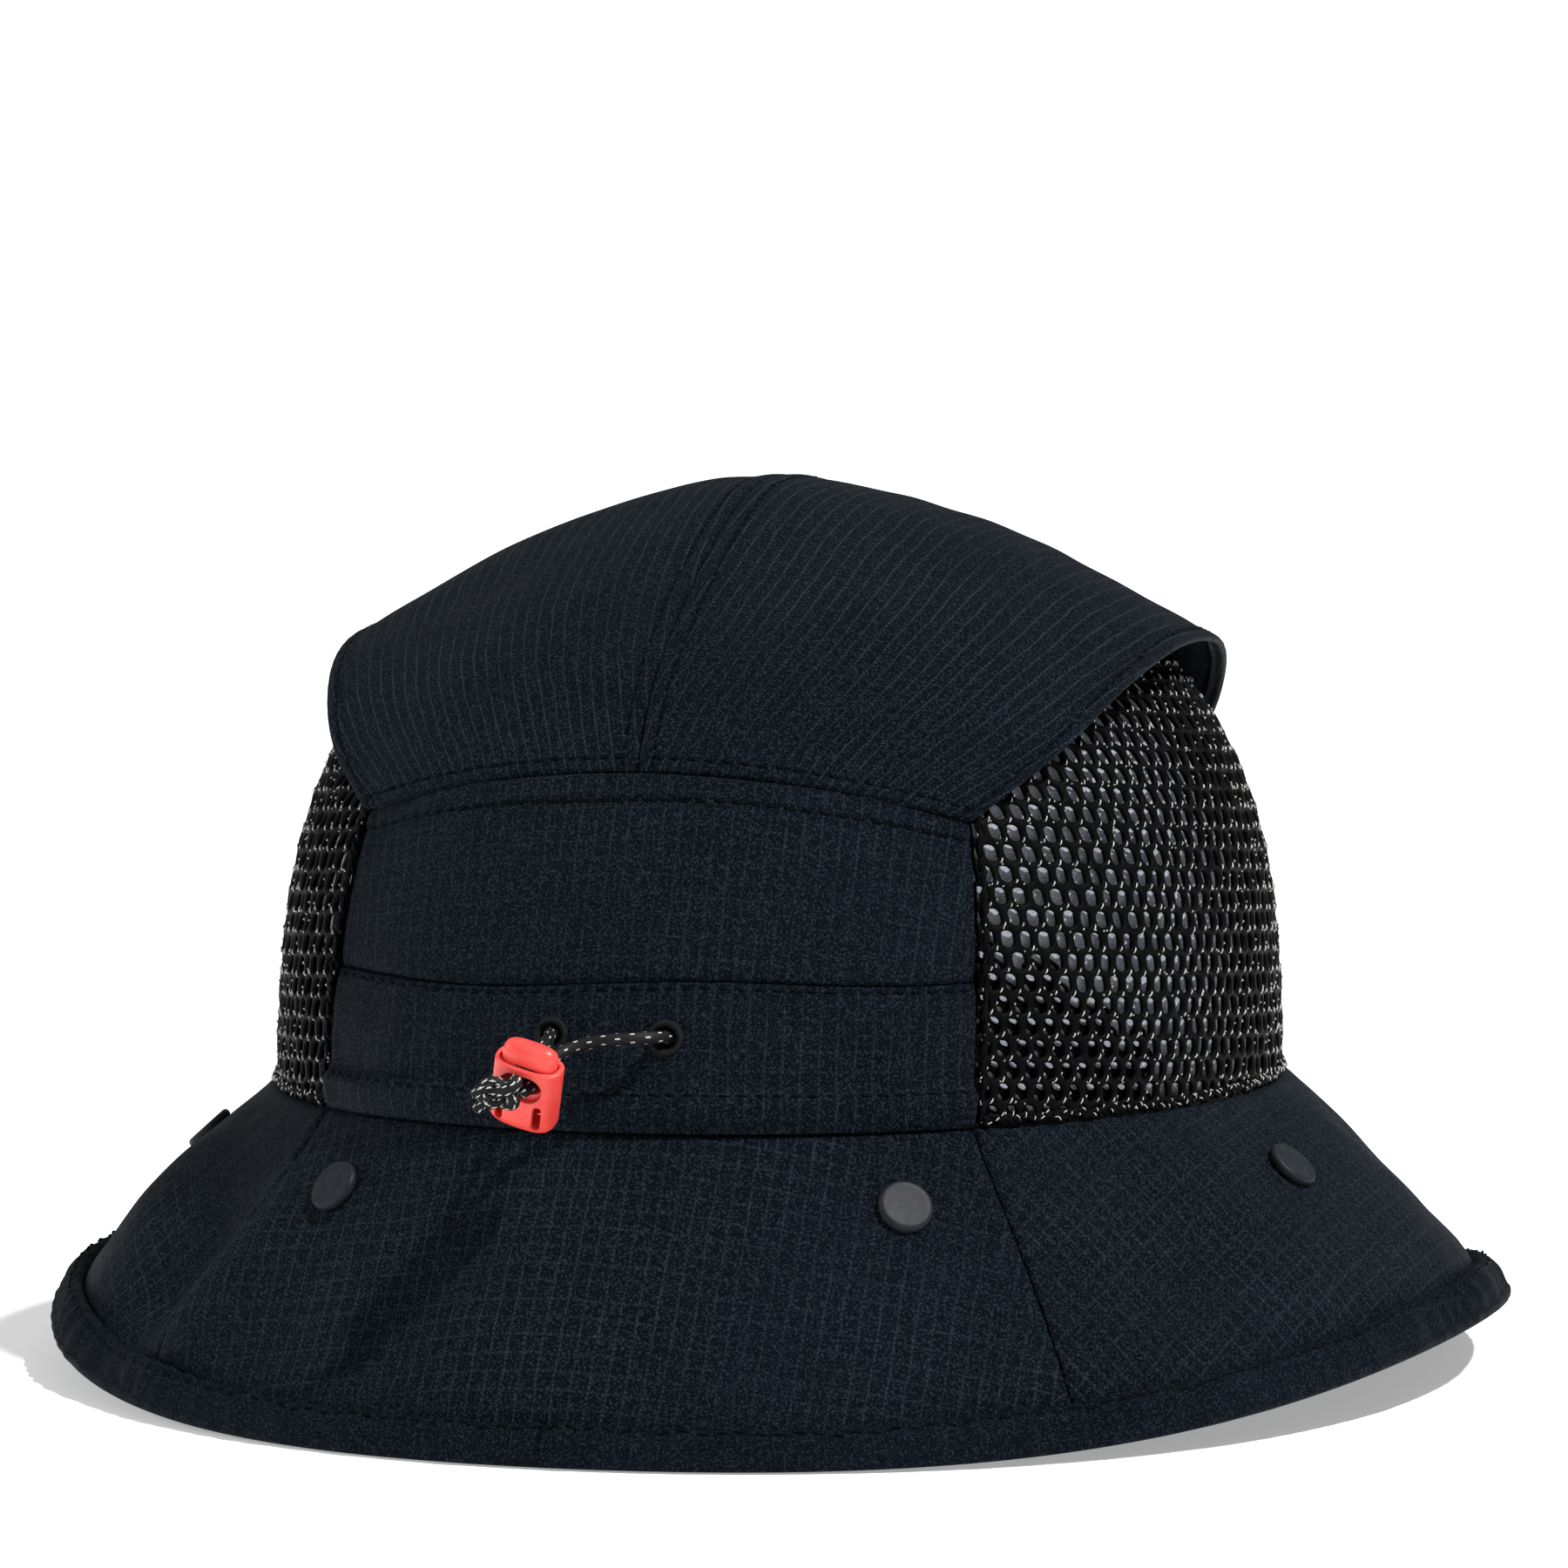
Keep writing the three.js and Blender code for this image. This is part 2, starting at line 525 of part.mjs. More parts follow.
// An upright block of that outline between two heights, its ends rounded in steps by the given inset.
function lockBlock(halfWidth, halfDepth, low, high, lowRound = 0, highRound = 0) {
  const rounding = (size) => (size ? [[0, size], [0.3 * size, 0.45 * size], [size, 0]] : [[0, 0]]);
  const levels = [
    ...rounding(lowRound).map(([rise, inset]) => [low + rise, inset]),
    ...rounding(highRound).map(([rise, inset]) => [high - rise, inset]).reverse(),
  ];
  const rings = levels.map(([height, inset]) =>
    lockOutline(halfWidth - inset, halfDepth - inset).getPoints().map((p) => point(p.x, p.y, height)));
  const sides = rings[0].length;
  const points = [...rings.flat(), point(0, 0, low), point(0, 0, high)];
  const faces = [];
  for (let k = 0; k < sides; k++) {
    const next = (k + 1) % sides;
    for (let i = 0; i + 1 < rings.length; i++) {
      const a = i * sides, b = a + sides;
      faces.push([a + k, a + next, b + next], [a + k, b + next, b + k]);
    }
    const last = (rings.length - 1) * sides;
    faces.push([points.length - 2, next, k], [points.length - 1, last + k, last + next]);
  }
  return geometryOf(points, faces);
}

// A hole through the lock from front to back, with round ends.
function cordHole(halfWidth, low, high) {
  const middle = (low + high) / 2, radius = (high - low) / 2;
  const reach = halfWidth - radius;
  const outline = new THREE.Shape();
  outline.absarc(reach, middle, radius, -Math.PI / 2, Math.PI / 2, false);
  outline.absarc(-reach, middle, radius, Math.PI / 2, 3 * Math.PI / 2, false);
  const hole = new THREE.ExtrudeGeometry(outline, { depth: 12, bevelEnabled: false, curveSegments: 5 });
  return hole.translate(0, 0, -6).rotateX(Math.PI / 2);
}

function addLock() {
  const group = new THREE.Group();
  group.position.copy(lock.centre);
  group.rotation.set(rad(lock.pitch), rad(lock.roll), rad(lock.yaw), 'ZXY');
  hat.add(group);

  const bore = lockBlock(lock.halfWidth - lock.wall, lock.halfDepth - lock.wall, lock.floor, lock.top + 2);
  const slotHeight = lock.slotHigh - lock.slotLow;
  const slots = [-1, 1].flatMap((side) => [-1, 1].map((face) => new THREE.BoxGeometry(
    lock.slotWidth, 2 * lock.slotDepth, slotHeight).translate(
    side * lock.slotAt, face * lock.halfDepth * 0.86, (lock.slotHigh + lock.slotLow) / 2)));
  add('lock_housing', cutOut(
    lockBlock(lock.halfWidth, lock.halfDepth, lock.base, lock.top, 1.1, 0.35),
    [bore, cordHole(lock.holeHalfWidth, -lock.holeHalfHeight, lock.holeHalfHeight), ...slots],
  ), finish.coral, group);

  // The button's domed head rises from the bore. Its own cord hole is taller by the travel.
  const inset = lock.wall + lock.clearance;
  const cordTop = 1.6;
  add('lock_button', cutOut(
    lockBlock(lock.halfWidth - inset, lock.halfDepth - inset, lock.plungerBase, lock.domeTop, 0, 1.7),
    [cordHole(lock.holeHalfWidth, lock.pinchEdge, cordTop + lock.travel)],
  ), finish.coral, group);

  const springRadius = 1.5, wireRadius = 0.25, turns = 3;
  const springLow = lock.floor + lock.clearance + wireRadius;
  const springHigh = lock.plungerBase - lock.clearance - wireRadius;
  const helix = new (class extends THREE.Curve {
    getPoint(t) {
      const turn = t * turns * 2 * Math.PI;
      return point(springRadius * Math.cos(turn), springRadius * Math.sin(turn),
        THREE.MathUtils.lerp(springLow, springHigh, t));
    }
  })();
  const wire = new THREE.Shape();
  wire.absarc(0, 0, wireRadius, 0, 2 * Math.PI);
  const spring = new THREE.ExtrudeGeometry(wire, { steps: 30, curveSegments: 3, extrudePath: helix });
  add('lock_spring', spring, finish.steel, group);
}

addCrownPanels();
addMeshSides();
addGussets();
addLining();
addCrownTop();
addSweatband();
addBrim();
addBinding();
addSnaps();
addCords();
addLock();

export default hat;
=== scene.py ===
import math
import bpy
import bmesh
import numpy as np
from mathutils import Matrix, Vector


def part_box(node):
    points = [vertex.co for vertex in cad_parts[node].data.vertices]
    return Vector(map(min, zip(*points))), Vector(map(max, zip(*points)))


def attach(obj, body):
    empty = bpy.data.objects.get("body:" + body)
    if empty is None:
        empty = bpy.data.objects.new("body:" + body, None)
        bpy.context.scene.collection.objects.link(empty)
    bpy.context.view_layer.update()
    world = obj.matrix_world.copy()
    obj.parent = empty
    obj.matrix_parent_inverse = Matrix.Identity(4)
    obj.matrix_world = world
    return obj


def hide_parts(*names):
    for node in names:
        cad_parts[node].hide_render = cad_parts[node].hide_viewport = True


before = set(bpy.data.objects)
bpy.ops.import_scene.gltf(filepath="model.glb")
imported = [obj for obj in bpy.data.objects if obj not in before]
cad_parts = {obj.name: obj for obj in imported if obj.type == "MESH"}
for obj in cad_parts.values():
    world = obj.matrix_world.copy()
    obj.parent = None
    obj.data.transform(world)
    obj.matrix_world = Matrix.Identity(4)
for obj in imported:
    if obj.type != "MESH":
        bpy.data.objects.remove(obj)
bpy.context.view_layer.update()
print("frame loaded")

mm = 0.001   # lengths below are in millimetres, and become metres when a mesh is made


camera = {"lens": 152.7, "distance": 1.150, "height": 0.167, "side": -0.284, "back": 0.959, "pitch": 3.4}


def addCamera():
    data = bpy.data.cameras.new("camera")
    data.lens = camera["lens"]
    data.sensor_width = 36
    data.clip_start, data.clip_end = 0.01, 20
    eye = bpy.data.objects.new("camera", data)
    pitch = math.radians(camera["pitch"])
    look = Vector((-camera["side"] * math.cos(pitch), -camera["back"] * math.cos(pitch), -math.sin(pitch)))
    distance = camera["distance"]
    eye.location = (camera["side"] * distance, camera["back"] * distance, camera["height"])
    eye.rotation_euler = look.to_track_quat("-Z", "Y").to_euler()
    bpy.context.scene.collection.objects.link(eye)
    bpy.context.scene.camera = eye


addCamera()


def unit(vectors):
    size = np.linalg.norm(vectors, axis=-1, keepdims=True)
    return vectors / np.maximum(size, 1e-9)


def smoothStep(low, high, value):
    t = np.clip((value - low) / (high - low), 0, 1)
    return t * t * (3 - 2 * t)


# Soft unevenness of cloth: a few long waves in fixed directions, from about -1 to 1.
def ripple(points, size, seed):
    waves = np.random.RandomState(seed)
    total = 0
    for _ in range(7):
        way = unit(waves.normal(size=3))
        turns = points @ way * (2 * math.pi / size) * waves.uniform(0.6, 1.6)
        total = total + np.sin(turns + waves.uniform(0, 6.3))
    return total / 3.2


# A smooth line through points, with power 0.5 for chordal and 0.25 for centripetal steps.
def curveThrough(points, power, steps):
    points = np.array(points, float)
    padded = np.vstack([2 * points[0] - points[1], points, 2 * points[-1] - points[-2]])
    line = []
    for i in range(len(points) - 1):
        a, b, c, d = padded[i:i + 4]
        ab, bc, cd = (max(1e-6, np.sum((q - p) ** 2) ** power) for p, q in ((a, b), (b, c), (c, d)))
        leave = ((b - a) / ab - (c - a) / (ab + bc) + (c - b) / bc) * bc
        arrive = ((c - b) / bc - (d - b) / (bc + cd) + (d - c) / cd) * bc
        t = np.linspace(0, 1, steps, endpoint=False)[:, None]
        line.append((2 * t**3 - 3 * t**2 + 1) * b + (t**3 - 2 * t**2 + t) * leave
                    + (-2 * t**3 + 3 * t**2) * c + (t**3 - t**2) * arrive)
    return np.vstack(line + [points[-1:]])


def runAlong(line):
    return np.concatenate([[0], np.cumsum(np.linalg.norm(np.diff(line, axis=0), axis=1))])


def evenly(line, count):
    run = runAlong(line)
    at = np.linspace(0, run[-1], count)
    return np.stack([np.interp(at, run, line[:, k]) for k in range(3)], 1)


def gridFaces(rows, columns, start=0, closed=False):
    i = np.arange(rows if closed else rows - 1)
    j = np.arange(columns - 1)
    a = (i[:, None] * columns + j[None, :]).ravel() + start
    b = (((i + 1) % rows)[:, None] * columns + j[None, :]).ravel() + start
    return np.stack([a, b, b + 1, a + 1], 1)


# Faces of a grid that closes on itself both ways.
def wrapFaces(rows, columns):
    i, j = np.meshgrid(np.arange(rows), np.arange(columns), indexing="ij")
    nextI, nextJ = (i + 1) % rows * columns, (j + 1) % columns
    i = i * columns
    return np.stack([i + j, i + nextJ, nextI + nextJ, nextI + j], -1).reshape(-1, 4).tolist()


# Faces of two grids, one over the other, joined round their rims.
def sheetFaces(rows, columns):
    count = rows * columns
    index = np.arange(count).reshape(rows, columns)
    rim = np.concatenate([index[:, 0], index[-1, 1:], index[::-1, -1][1:], index[0, ::-1][1:]])
    faces = gridFaces(rows, columns).tolist() + gridFaces(rows, columns, count)[:, ::-1].tolist()
    return faces + [[a, b, b + count, a + count] for a, b in zip(rim, np.roll(rim, -1)) if a != b]


# Faces of a stack of rings with flat ends.
def stackFaces(rings, sides, start=0):
    ring = start + np.arange(sides)
    nextOne = np.roll(ring, -1)
    wall = np.stack([ring, nextOne, nextOne + sides, ring + sides], 1)
    walls = np.vstack([wall + i * sides for i in range(rings - 1)]).tolist()
    return walls + [ring[::-1].tolist(), (ring + (rings - 1) * sides).tolist()]


# Several shapes as one.
def joined(shapes):
    points, faces = [], []
    for some, theirs in shapes:
        faces += [[k + len(points) for k in face] for face in theirs]
        points += np.asarray(some).tolist()
    return np.array(points), faces


def meshObject(name, points, faces, uv=None, marks=None, tidy=0.0):
    mesh = bpy.data.meshes.new(name)
    mesh.from_pydata((np.asarray(points) * mm).tolist(), [], [list(map(int, f)) for f in faces])
    if uv is not None:
        layer = mesh.uv_layers.new(name="cloth")
        index = np.empty(len(mesh.loops), int)
        mesh.loops.foreach_get("vertex_index", index)
        layer.data.foreach_set("uv", (np.asarray(uv)[index] * mm).ravel().astype(np.float32))
    if marks is not None:
        layer = mesh.attributes.new("fleck", "FLOAT", "POINT")
        layer.data.foreach_set("value", np.asarray(marks, np.float32))
    shape = bmesh.new()
    shape.from_mesh(mesh)
    if tidy:
        bmesh.ops.remove_doubles(shape, verts=shape.verts, dist=tidy * mm)
        bmesh.ops.dissolve_degenerate(shape, edges=shape.edges, dist=0.01 * mm)
        loose = [v for v in shape.verts if not v.link_faces]
        bmesh.ops.delete(shape, geom=loose, context="VERTS")
    bmesh.ops.recalc_face_normals(shape, faces=shape.faces)
    shape.to_mesh(mesh)
    shape.free()
    piece = bpy.data.objects.new(name, mesh)
    bpy.context.scene.collection.objects.link(piece)
    return piece


def smoothFaces(piece):
    piece.data.polygons.foreach_set("use_smooth", [True] * len(piece.data.polygons))


def makePiece(name, points, faces, finish, body="root", replaces=(), uv=None, marks=None, tidy=0.0):
    piece = meshObject(name, points, faces, uv, marks, tidy)
    smoothFaces(piece)
    return dress(piece, finish, body, replaces)


def dress(piece, finish, body="root", replaces=()):
    piece.data.materials.clear()
    piece.data.materials.append(finish)
    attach(piece, body)
    if replaces:
        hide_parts(*replaces)
    return piece


# A short way to wire a finish: every call makes one node and returns its output.
class Wiring:
    def __init__(self, name):
        self.finish = bpy.data.materials.new(name)
        self.finish.use_nodes = True
        self.nodes = self.finish.node_tree.nodes
        self.links = self.finish.node_tree.links
        self.shader = self.nodes["Principled BSDF"]

    def feed(self, socket, value):
        if isinstance(value, bpy.types.NodeSocket):
            self.links.new(value, socket)
        elif hasattr(value, "__len__") and len(value) == 3 and socket.type == "RGBA":
            socket.default_value = (*value, 1)
        else:
            socket.default_value = value

    def calc(self, job, a, b=0.0, c=0.0):
        node = self.nodes.new("ShaderNodeMath")
        node.operation = job
        for socket, value in zip(node.inputs, (a, b, c)):
            self.feed(socket, value)
        return node.outputs[0]

    def blend(self, amount, a, b, how="MIX"):
        node = self.nodes.new("ShaderNodeMix")
        node.data_type = "RGBA"
        node.blend_type = how
        self.feed(node.inputs["Factor"], amount)
        self.feed(node.inputs[6], a)
        self.feed(node.inputs[7], b)
        return node.outputs[2]

    def ramp(self, value, low, high, fromValue=0.0, toValue=1.0):
        node = self.nodes.new("ShaderNodeMapRange")
        node.interpolation_type = "SMOOTHSTEP"
        for socket, number in zip(node.inputs, (value, fromValue, toValue, low, high)):
            self.feed(socket, number)
        return node.outputs[0]

    def noise(self, place, size, detail=2.0, rough=0.5):
        node = self.nodes.new("ShaderNodeTexNoise")
        self.feed(node.inputs["Vector"], place)
        node.inputs["Scale"].default_value = 1 / (size * mm)
        node.inputs["Detail"].default_value = detail
        node.inputs["Roughness"].default_value = rough
        return node.outputs["Fac"]

    def objectPlace(self):
        return self.nodes.new("ShaderNodeTexCoord").outputs["Object"]

    def clothPlace(self):
        node = self.nodes.new("ShaderNodeUVMap")
        node.uv_map = "cloth"
        split = self.nodes.new("ShaderNodeSeparateXYZ")
        self.links.new(node.outputs["UV"], split.inputs[0])
        return node.outputs["UV"], split.outputs[0], split.outputs[1]

    def mark(self, name):
        node = self.nodes.new("ShaderNodeAttribute")
        node.attribute_name = name
        return node.outputs["Fac"]

    def bump(self, height, depth, strength=1.0, under=None):
        node = self.nodes.new("ShaderNodeBump")
        node.inputs["Strength"].default_value = strength
        node.inputs["Distance"].default_value = depth * mm
        self.links.new(height, node.inputs["Height"])
        if under is not None:
            self.links.new(under, node.inputs["Normal"])
        return node.outputs["Normal"]

    def done(self, colour, roughness, normal=None, **constants):
        self.feed(self.shader.inputs["Base Color"], colour)
        self.feed(self.shader.inputs["Roughness"], roughness)
        if normal is not None:
            self.links.new(normal, self.shader.inputs["Normal"])
        for label, value in constants.items():
            self.feed(self.shader.inputs[label.replace("_", " ")], value)
        return self.finish


# Woven cloth with heavier threads in a grid. Its lines lie in the cloth's own flat coordinates.
def ripstopFinish(name, settings):
    w = Wiring(name)
    place, across, along = w.clothPlace()
    solid = w.objectPlace()
    wander = w.calc("MULTIPLY", w.calc("SUBTRACT", w.noise(place, 9), 0.5), 0.0011)
    lines = []
    ways = ((across, along, settings["pitchAcross"]), (along, across, settings["pitchAlong"]))
    for way, other, pitch in ways:
        moved = w.calc("ADD", way, wander)
        near = w.calc("PINGPONG", moved, pitch * mm / 2)
        line = w.ramp(near, 1.0, 0.0, settings["lineWidth"] * mm * 0.2, settings["lineWidth"] * mm)
        # the thick thread shows only where it comes over the thin ones
        hop = w.calc("PINGPONG", other, settings["hop"] * mm / 2)
        over = w.ramp(hop, 1.0, 0.30, settings["hop"] * mm * 0.12, settings["hop"] * mm * 0.34)
        lines.append(w.calc("MULTIPLY", line, over))
    patchy = w.ramp(w.noise(place, 2.2, 4, 0.65), 0.30, 1.0, 0.36, 0.58)
    broadPatch = w.ramp(w.noise(solid, 26, 2), 0.45, 1.0, 0.35, 0.60)
    crossLines = w.calc("MULTIPLY", lines[0], settings["lineAcross"])
    longLines = w.calc("MULTIPLY", lines[1], settings["lineAlong"])
    grid = w.calc("MULTIPLY", w.calc("MAXIMUM", crossLines, longLines), patchy)
    grid = w.calc("MULTIPLY", grid, broadPatch)
    # fine threads: over and under
    threads = w.calc("MULTIPLY",
                     w.calc("SINE", w.calc("MULTIPLY", across, 2 * math.pi / (settings["thread"] * mm))),
                     w.calc("SINE", w.calc("MULTIPLY", along, 2 * math.pi / (settings["thread"] * mm))))
    fibre = w.noise(solid, 0.34, 3, 0.7)
    speck = w.ramp(w.noise(solid, 0.40, 2, 0.7), 0.0, 1.0, 0.50, 0.64)
    broad = w.noise(solid, 38, 2)
    base = w.blend(w.ramp(broad, 0, 1, 0.3, 0.7), settings["dark"], settings["light"])
    base = w.blend(w.calc("MULTIPLY", speck, settings["speck"]), base, settings["speckColour"])
    base = w.blend(grid, base, settings["lineColour"])
    height = w.calc("ADD", w.calc("MULTIPLY", threads, 0.25), w.calc("MULTIPLY", fibre, 0.9))
    height = w.calc("ADD", height, w.calc("MULTIPLY", grid, 0.9))
    rough = w.ramp(w.noise(solid, 5, 2), settings["rough"] - 0.06, settings["rough"] + 0.08)
    soft = w.bump(w.noise(solid, 14, 3), 0.5, 0.35)
    return w.done(base, rough, w.bump(height, 0.30, 1.0, soft), Sheen_Weight=settings["sheen"],
                  Sheen_Roughness=0.45, Sheen_Tint=settings["sheenTint"], Specular_IOR_Level=settings["gloss"],
                  Specular_Tint=settings["sheenTint"])


ripstop = {
    "pitchAcross": 2.9, "pitchAlong": 3.2, "lineWidth": 0.32, "lineAcross": 0.46, "lineAlong": 0.24,
    "thread": 0.5, "hop": 0.9, "dark": (0.0007, 0.0017, 0.0031), "light": (0.0014, 0.0031, 0.0056),
    "lineColour": (0.0360, 0.0480, 0.0640), "speck": 0.92, "speckColour": (0.0205, 0.0275, 0.0370),
    "rough": 0.58, "sheen": 0.0, "sheenTint": (0.55, 0.75, 1.0), "gloss": 0.058,
}
ripstopCloth = ripstopFinish("ripstop cloth", ripstop)
crownCloth = ripstopFinish("crown ripstop", {
    **ripstop, "lineAcross": 0.12, "lineAlong": 0.95, "pitchAlong": 2.9})
brimCloth = ripstopFinish("brim ripstop", {**ripstop, "lineAcross": 0.62, "lineAlong": 0.38})
underbrimCloth = ripstopFinish("underbrim cloth", {
    **ripstop, "lineAcross": 0.0, "lineAlong": 0.0, "dark": (0.0026, 0.0036, 0.0058),
    "light": (0.0040, 0.0052, 0.0080), "rough": 0.7, "gloss": 0.12})
bindingCloth = ripstopFinish("binding cloth", {
    **ripstop, "lineAcross": 0.08, "lineAlong": 0.08, "speck": 0.75, "rough": 0.66})


def threadFinish(name, colour, size, gloss, roughness, sheen=0.15):
    w = Wiring(name)
    solid = w.objectPlace()
    fibre = w.noise(solid, size, 3, 0.6)
    shade = w.blend(w.ramp(fibre, 0, 1, 0.35, 0.68), [c * 0.55 for c in colour], [c * 1.5 for c in colour])
    return w.done(shade, w.ramp(fibre, roughness - 0.1, roughness + 0.1), w.bump(fibre, size * 0.5, 0.8),
                  Sheen_Weight=sheen, Sheen_Roughness=0.4, Specular_IOR_Level=gloss)


stitchThread = threadFinish("stitching thread", (0.0009, 0.0012, 0.0018), 0.12, 0.04, 0.5, 0.0)
netYarn = threadFinish("net yarn", (0.0009, 0.0009, 0.0012), 0.26, 0.045, 0.50, 0.0)
# pale yarn, also used for the painted highlights on the net and its gathered edge
paleYarnAndHighlight = threadFinish("pale fleck yarn and painted highlights", (0.60, 0.60, 0.57), 0.15, 0.5, 0.35, 0.0)
eyeletThread = threadFinish("eyelet embroidery", (0.0030, 0.0033, 0.0042), 0.22, 0.16, 0.6, 0.0)
bandCloth = threadFinish("sweatband knit", (0.0100, 0.0110, 0.0140), 0.35, 0.2, 0.85, 0.4)
labelCloth = threadFinish("woven label", (0.050, 0.055, 0.065), 0.2, 0.4, 0.6)


def liningFinish():
    w = Wiring("lining knit")
    solid = w.objectPlace()
    loops = w.noise(solid, 0.38, 3, 0.6)
    broad = w.noise(solid, 12, 2)
    shade = w.blend(w.ramp(loops, 0, 1, 0.32, 0.68), (0.19, 0.205, 0.24), (0.44, 0.465, 0.53))
    shade = w.blend(w.ramp(broad, 0, 0.35, 0.35, 0.7), shade, (0.50, 0.52, 0.58))
    return w.done(shade, 0.8, w.bump(loops, 0.2, 0.9), Sheen_Weight=0.25, Sheen_Roughness=0.5,
                  Specular_IOR_Level=0.3)


liningCloth = liningFinish()


# Braided cord: black yarn with the pale ones marked on the mesh.
def cordFinish():
    w = Wiring("braided cord")
    solid = w.objectPlace()
    fibre = w.noise(solid, 0.11, 3, 0.65)
    black = w.blend(w.ramp(fibre, 0, 1, 0.3, 0.7), (0.0022, 0.0022, 0.0025), (0.0075, 0.0075, 0.0080))
    pale = w.blend(w.ramp(fibre, 0, 1, 0.3, 0.7), (0.42, 0.42, 0.41), (0.78, 0.78, 0.76))
    shade = w.blend(w.ramp(w.mark("fleck"), 0, 1, 0.4, 0.6), black, pale)
    return w.done(shade, w.ramp(fibre, 0.4, 0.62), w.bump(fibre, 0.07, 0.8), Sheen_Weight=0.02,
                  Sheen_Roughness=0.4, Specular_IOR_Level=0.22)


cordYarn = cordFinish()


def plasticFinish():
    w = Wiring("coral plastic")
    solid = w.objectPlace()
    grain = w.noise(solid, 0.09, 3, 0.6)
    cloud = w.noise(solid, 3.0, 2)
    shade = w.blend(w.ramp(cloud, 0, 1, 0.3, 0.7), (0.86, 0.062, 0.052), (0.94, 0.088, 0.070))
    shade = w.blend(w.ramp(w.noise(solid, 0.5, 2), 0, 0.10, 0.45, 0.75), shade, (0.60, 0.035, 0.030))
    rough = w.ramp(w.noise(solid, 1.4, 3), 0.30, 0.44)
    return w.done(shade, rough, w.bump(grain, 0.018, 0.6), Specular_IOR_Level=0.5, IOR=1.49,
                  Subsurface_Weight=0.10, Subsurface_Scale=0.0012, Subsurface_Radius=(1.0, 0.3, 0.2))


coralPlastic = plasticFinish()


def metalFinish(name, colour, metallic, roughness, coat, scratch, gloss=0.5):
    w = Wiring(name)
    solid = w.objectPlace()
    cloud = w.noise(solid, 1.3, 3)
    fine = w.noise(solid, 0.10, 3, 0.7)
    shade = w.blend(w.ramp(cloud, 0, 1, 0.3, 0.7), colour, [c * 1.5 for c in colour])
    return w.done(shade, w.ramp(cloud, roughness - 0.05, roughness + 0.07), w.bump(fine, scratch, 0.6),
                  Metallic=metallic, Coat_Weight=coat, Coat_Roughness=0.16, Specular_IOR_Level=gloss)


snapPaint = metalFinish("snap enamel", (0.0110, 0.0130, 0.0160), 0.0, 0.46, 0.0, 0.008, 0.12)
springWire = metalFinish("spring wire", (0.52, 0.52, 0.53), 1.0, 0.28, 0.0, 0.006)


def floorFinish():
    w = Wiring("pale floor")
    solid = w.objectPlace()
    shade = w.blend(w.noise(solid, 60, 3), (0.90, 0.90, 0.90), (0.92, 0.92, 0.92))
    return w.done(shade, w.ramp(w.noise(solid, 3, 2), 0.75, 0.85), Specular_IOR_Level=0.2,
                  Emission_Color=(1.0, 1.0, 1.0), Emission_Strength=0.34)


print("finishes made")

# The drawcord comes first.

cordSettings = {
    "diameter": 2.0, "strands": 16, "braidPitch": 9.0, "relief": 0.15, "ringStep": 0.10, "sides": 48,
}
channelRun = [
    (51.4, 76.6, 60.5), (45.0, 82.0, 60.8), (37.5, 87.1, 61.3), (29.6, 91.0, 62.0), (22.8, 93.4, 62.8),
    (17.6, 93.8, 63.4), (14.2, 93.8, 63.8), (11.7, 94.6, 64.0), (10.2, 96.5, 64.1), (9.5, 99.0, 64.2),
]
cordRoutes = {
    "drawcord_right": [(-x, y, z) for x, y, z in channelRun] + [
        (-8.5, 101.3, 64.3), (-6.4, 103.2, 64.3), (-3.4, 104.3, 64.1), (-0.3, 104.9, 63.8),
        (2.5, 105.7, 63.2), (4.6, 107.3, 62.3), (5.8, 109.9, 61.0), (6.4, 112.4, 59.5), (6.9, 115.0, 58.2),
        (7.3, 117.4, 57.2), (7.9, 119.3, 56.7),
    ],
    "drawcord_left": channelRun + [
        (8.8, 101.7, 64.1), (8.2, 104.4, 63.7), (8.0, 107.3, 62.8), (8.2, 109.9, 61.6), (8.6, 112.4, 60.1),
        (9.1, 115.0, 58.9), (9.6, 117.4, 57.8), (9.8, 118.6, 57.6),
    ],
}
knotSettings = {
    "centre": (10.3, 121.3, 57.0), "size": (4.3, 3.2, 3.8), "yarn": 2.2, "tailShare": 0.92, "paleEvery": 2,
    "braid": {"relief": 0.20, "strands": 18}, "tailSteps": 20,
    "tails": [((1.2, 0.4, -0.6), (2.6, 1.0, -1.6), (4.0, 1.2, -3.0)),
              ((0.8, 0.8, 0.9), (2.4, 1.6, 0.6), (4.2, 1.6, -0.6))],
}


# Directions across a line that turn as little as they can from one point to the next.
def framesAlong(line):
    ahead = unit(np.gradient(line, axis=0))
    side = np.empty_like(line)
    first = np.cross(ahead[0], (0, 0, 1))
    side[0] = unit(first if np.linalg.norm(first) > 0.1 else np.cross(ahead[0], (1, 0, 0)))
    for i in range(1, len(line)):
        kept = side[i - 1] - ahead[i] * np.dot(side[i - 1], ahead[i])
        side[i] = unit(kept)
    return side, np.cross(ahead, side)


def tubeShape(line, radius, sides):
    side, up = framesAlong(line)
    turn = np.arange(sides) / sides * 2 * math.pi
    radius = np.broadcast_to(radius, (len(line), sides))
    rings = (line[:, None] + radius[..., None] * (np.cos(turn)[None, :, None] * side[:, None]
                                                  + np.sin(turn)[None, :, None] * up[:, None]))
    points = np.vstack([rings.reshape(-1, 3), line[:1], line[-1:]])
    faces = stackFaces(len(line), sides)[:-2]
    last = (len(line) - 1) * sides
    for k in range(sides):
        faces.append([len(points) - 2, (k + 1) % sides, k])
        faces.append([len(points) - 1, last + k, last + (k + 1) % sides])
    return points, faces


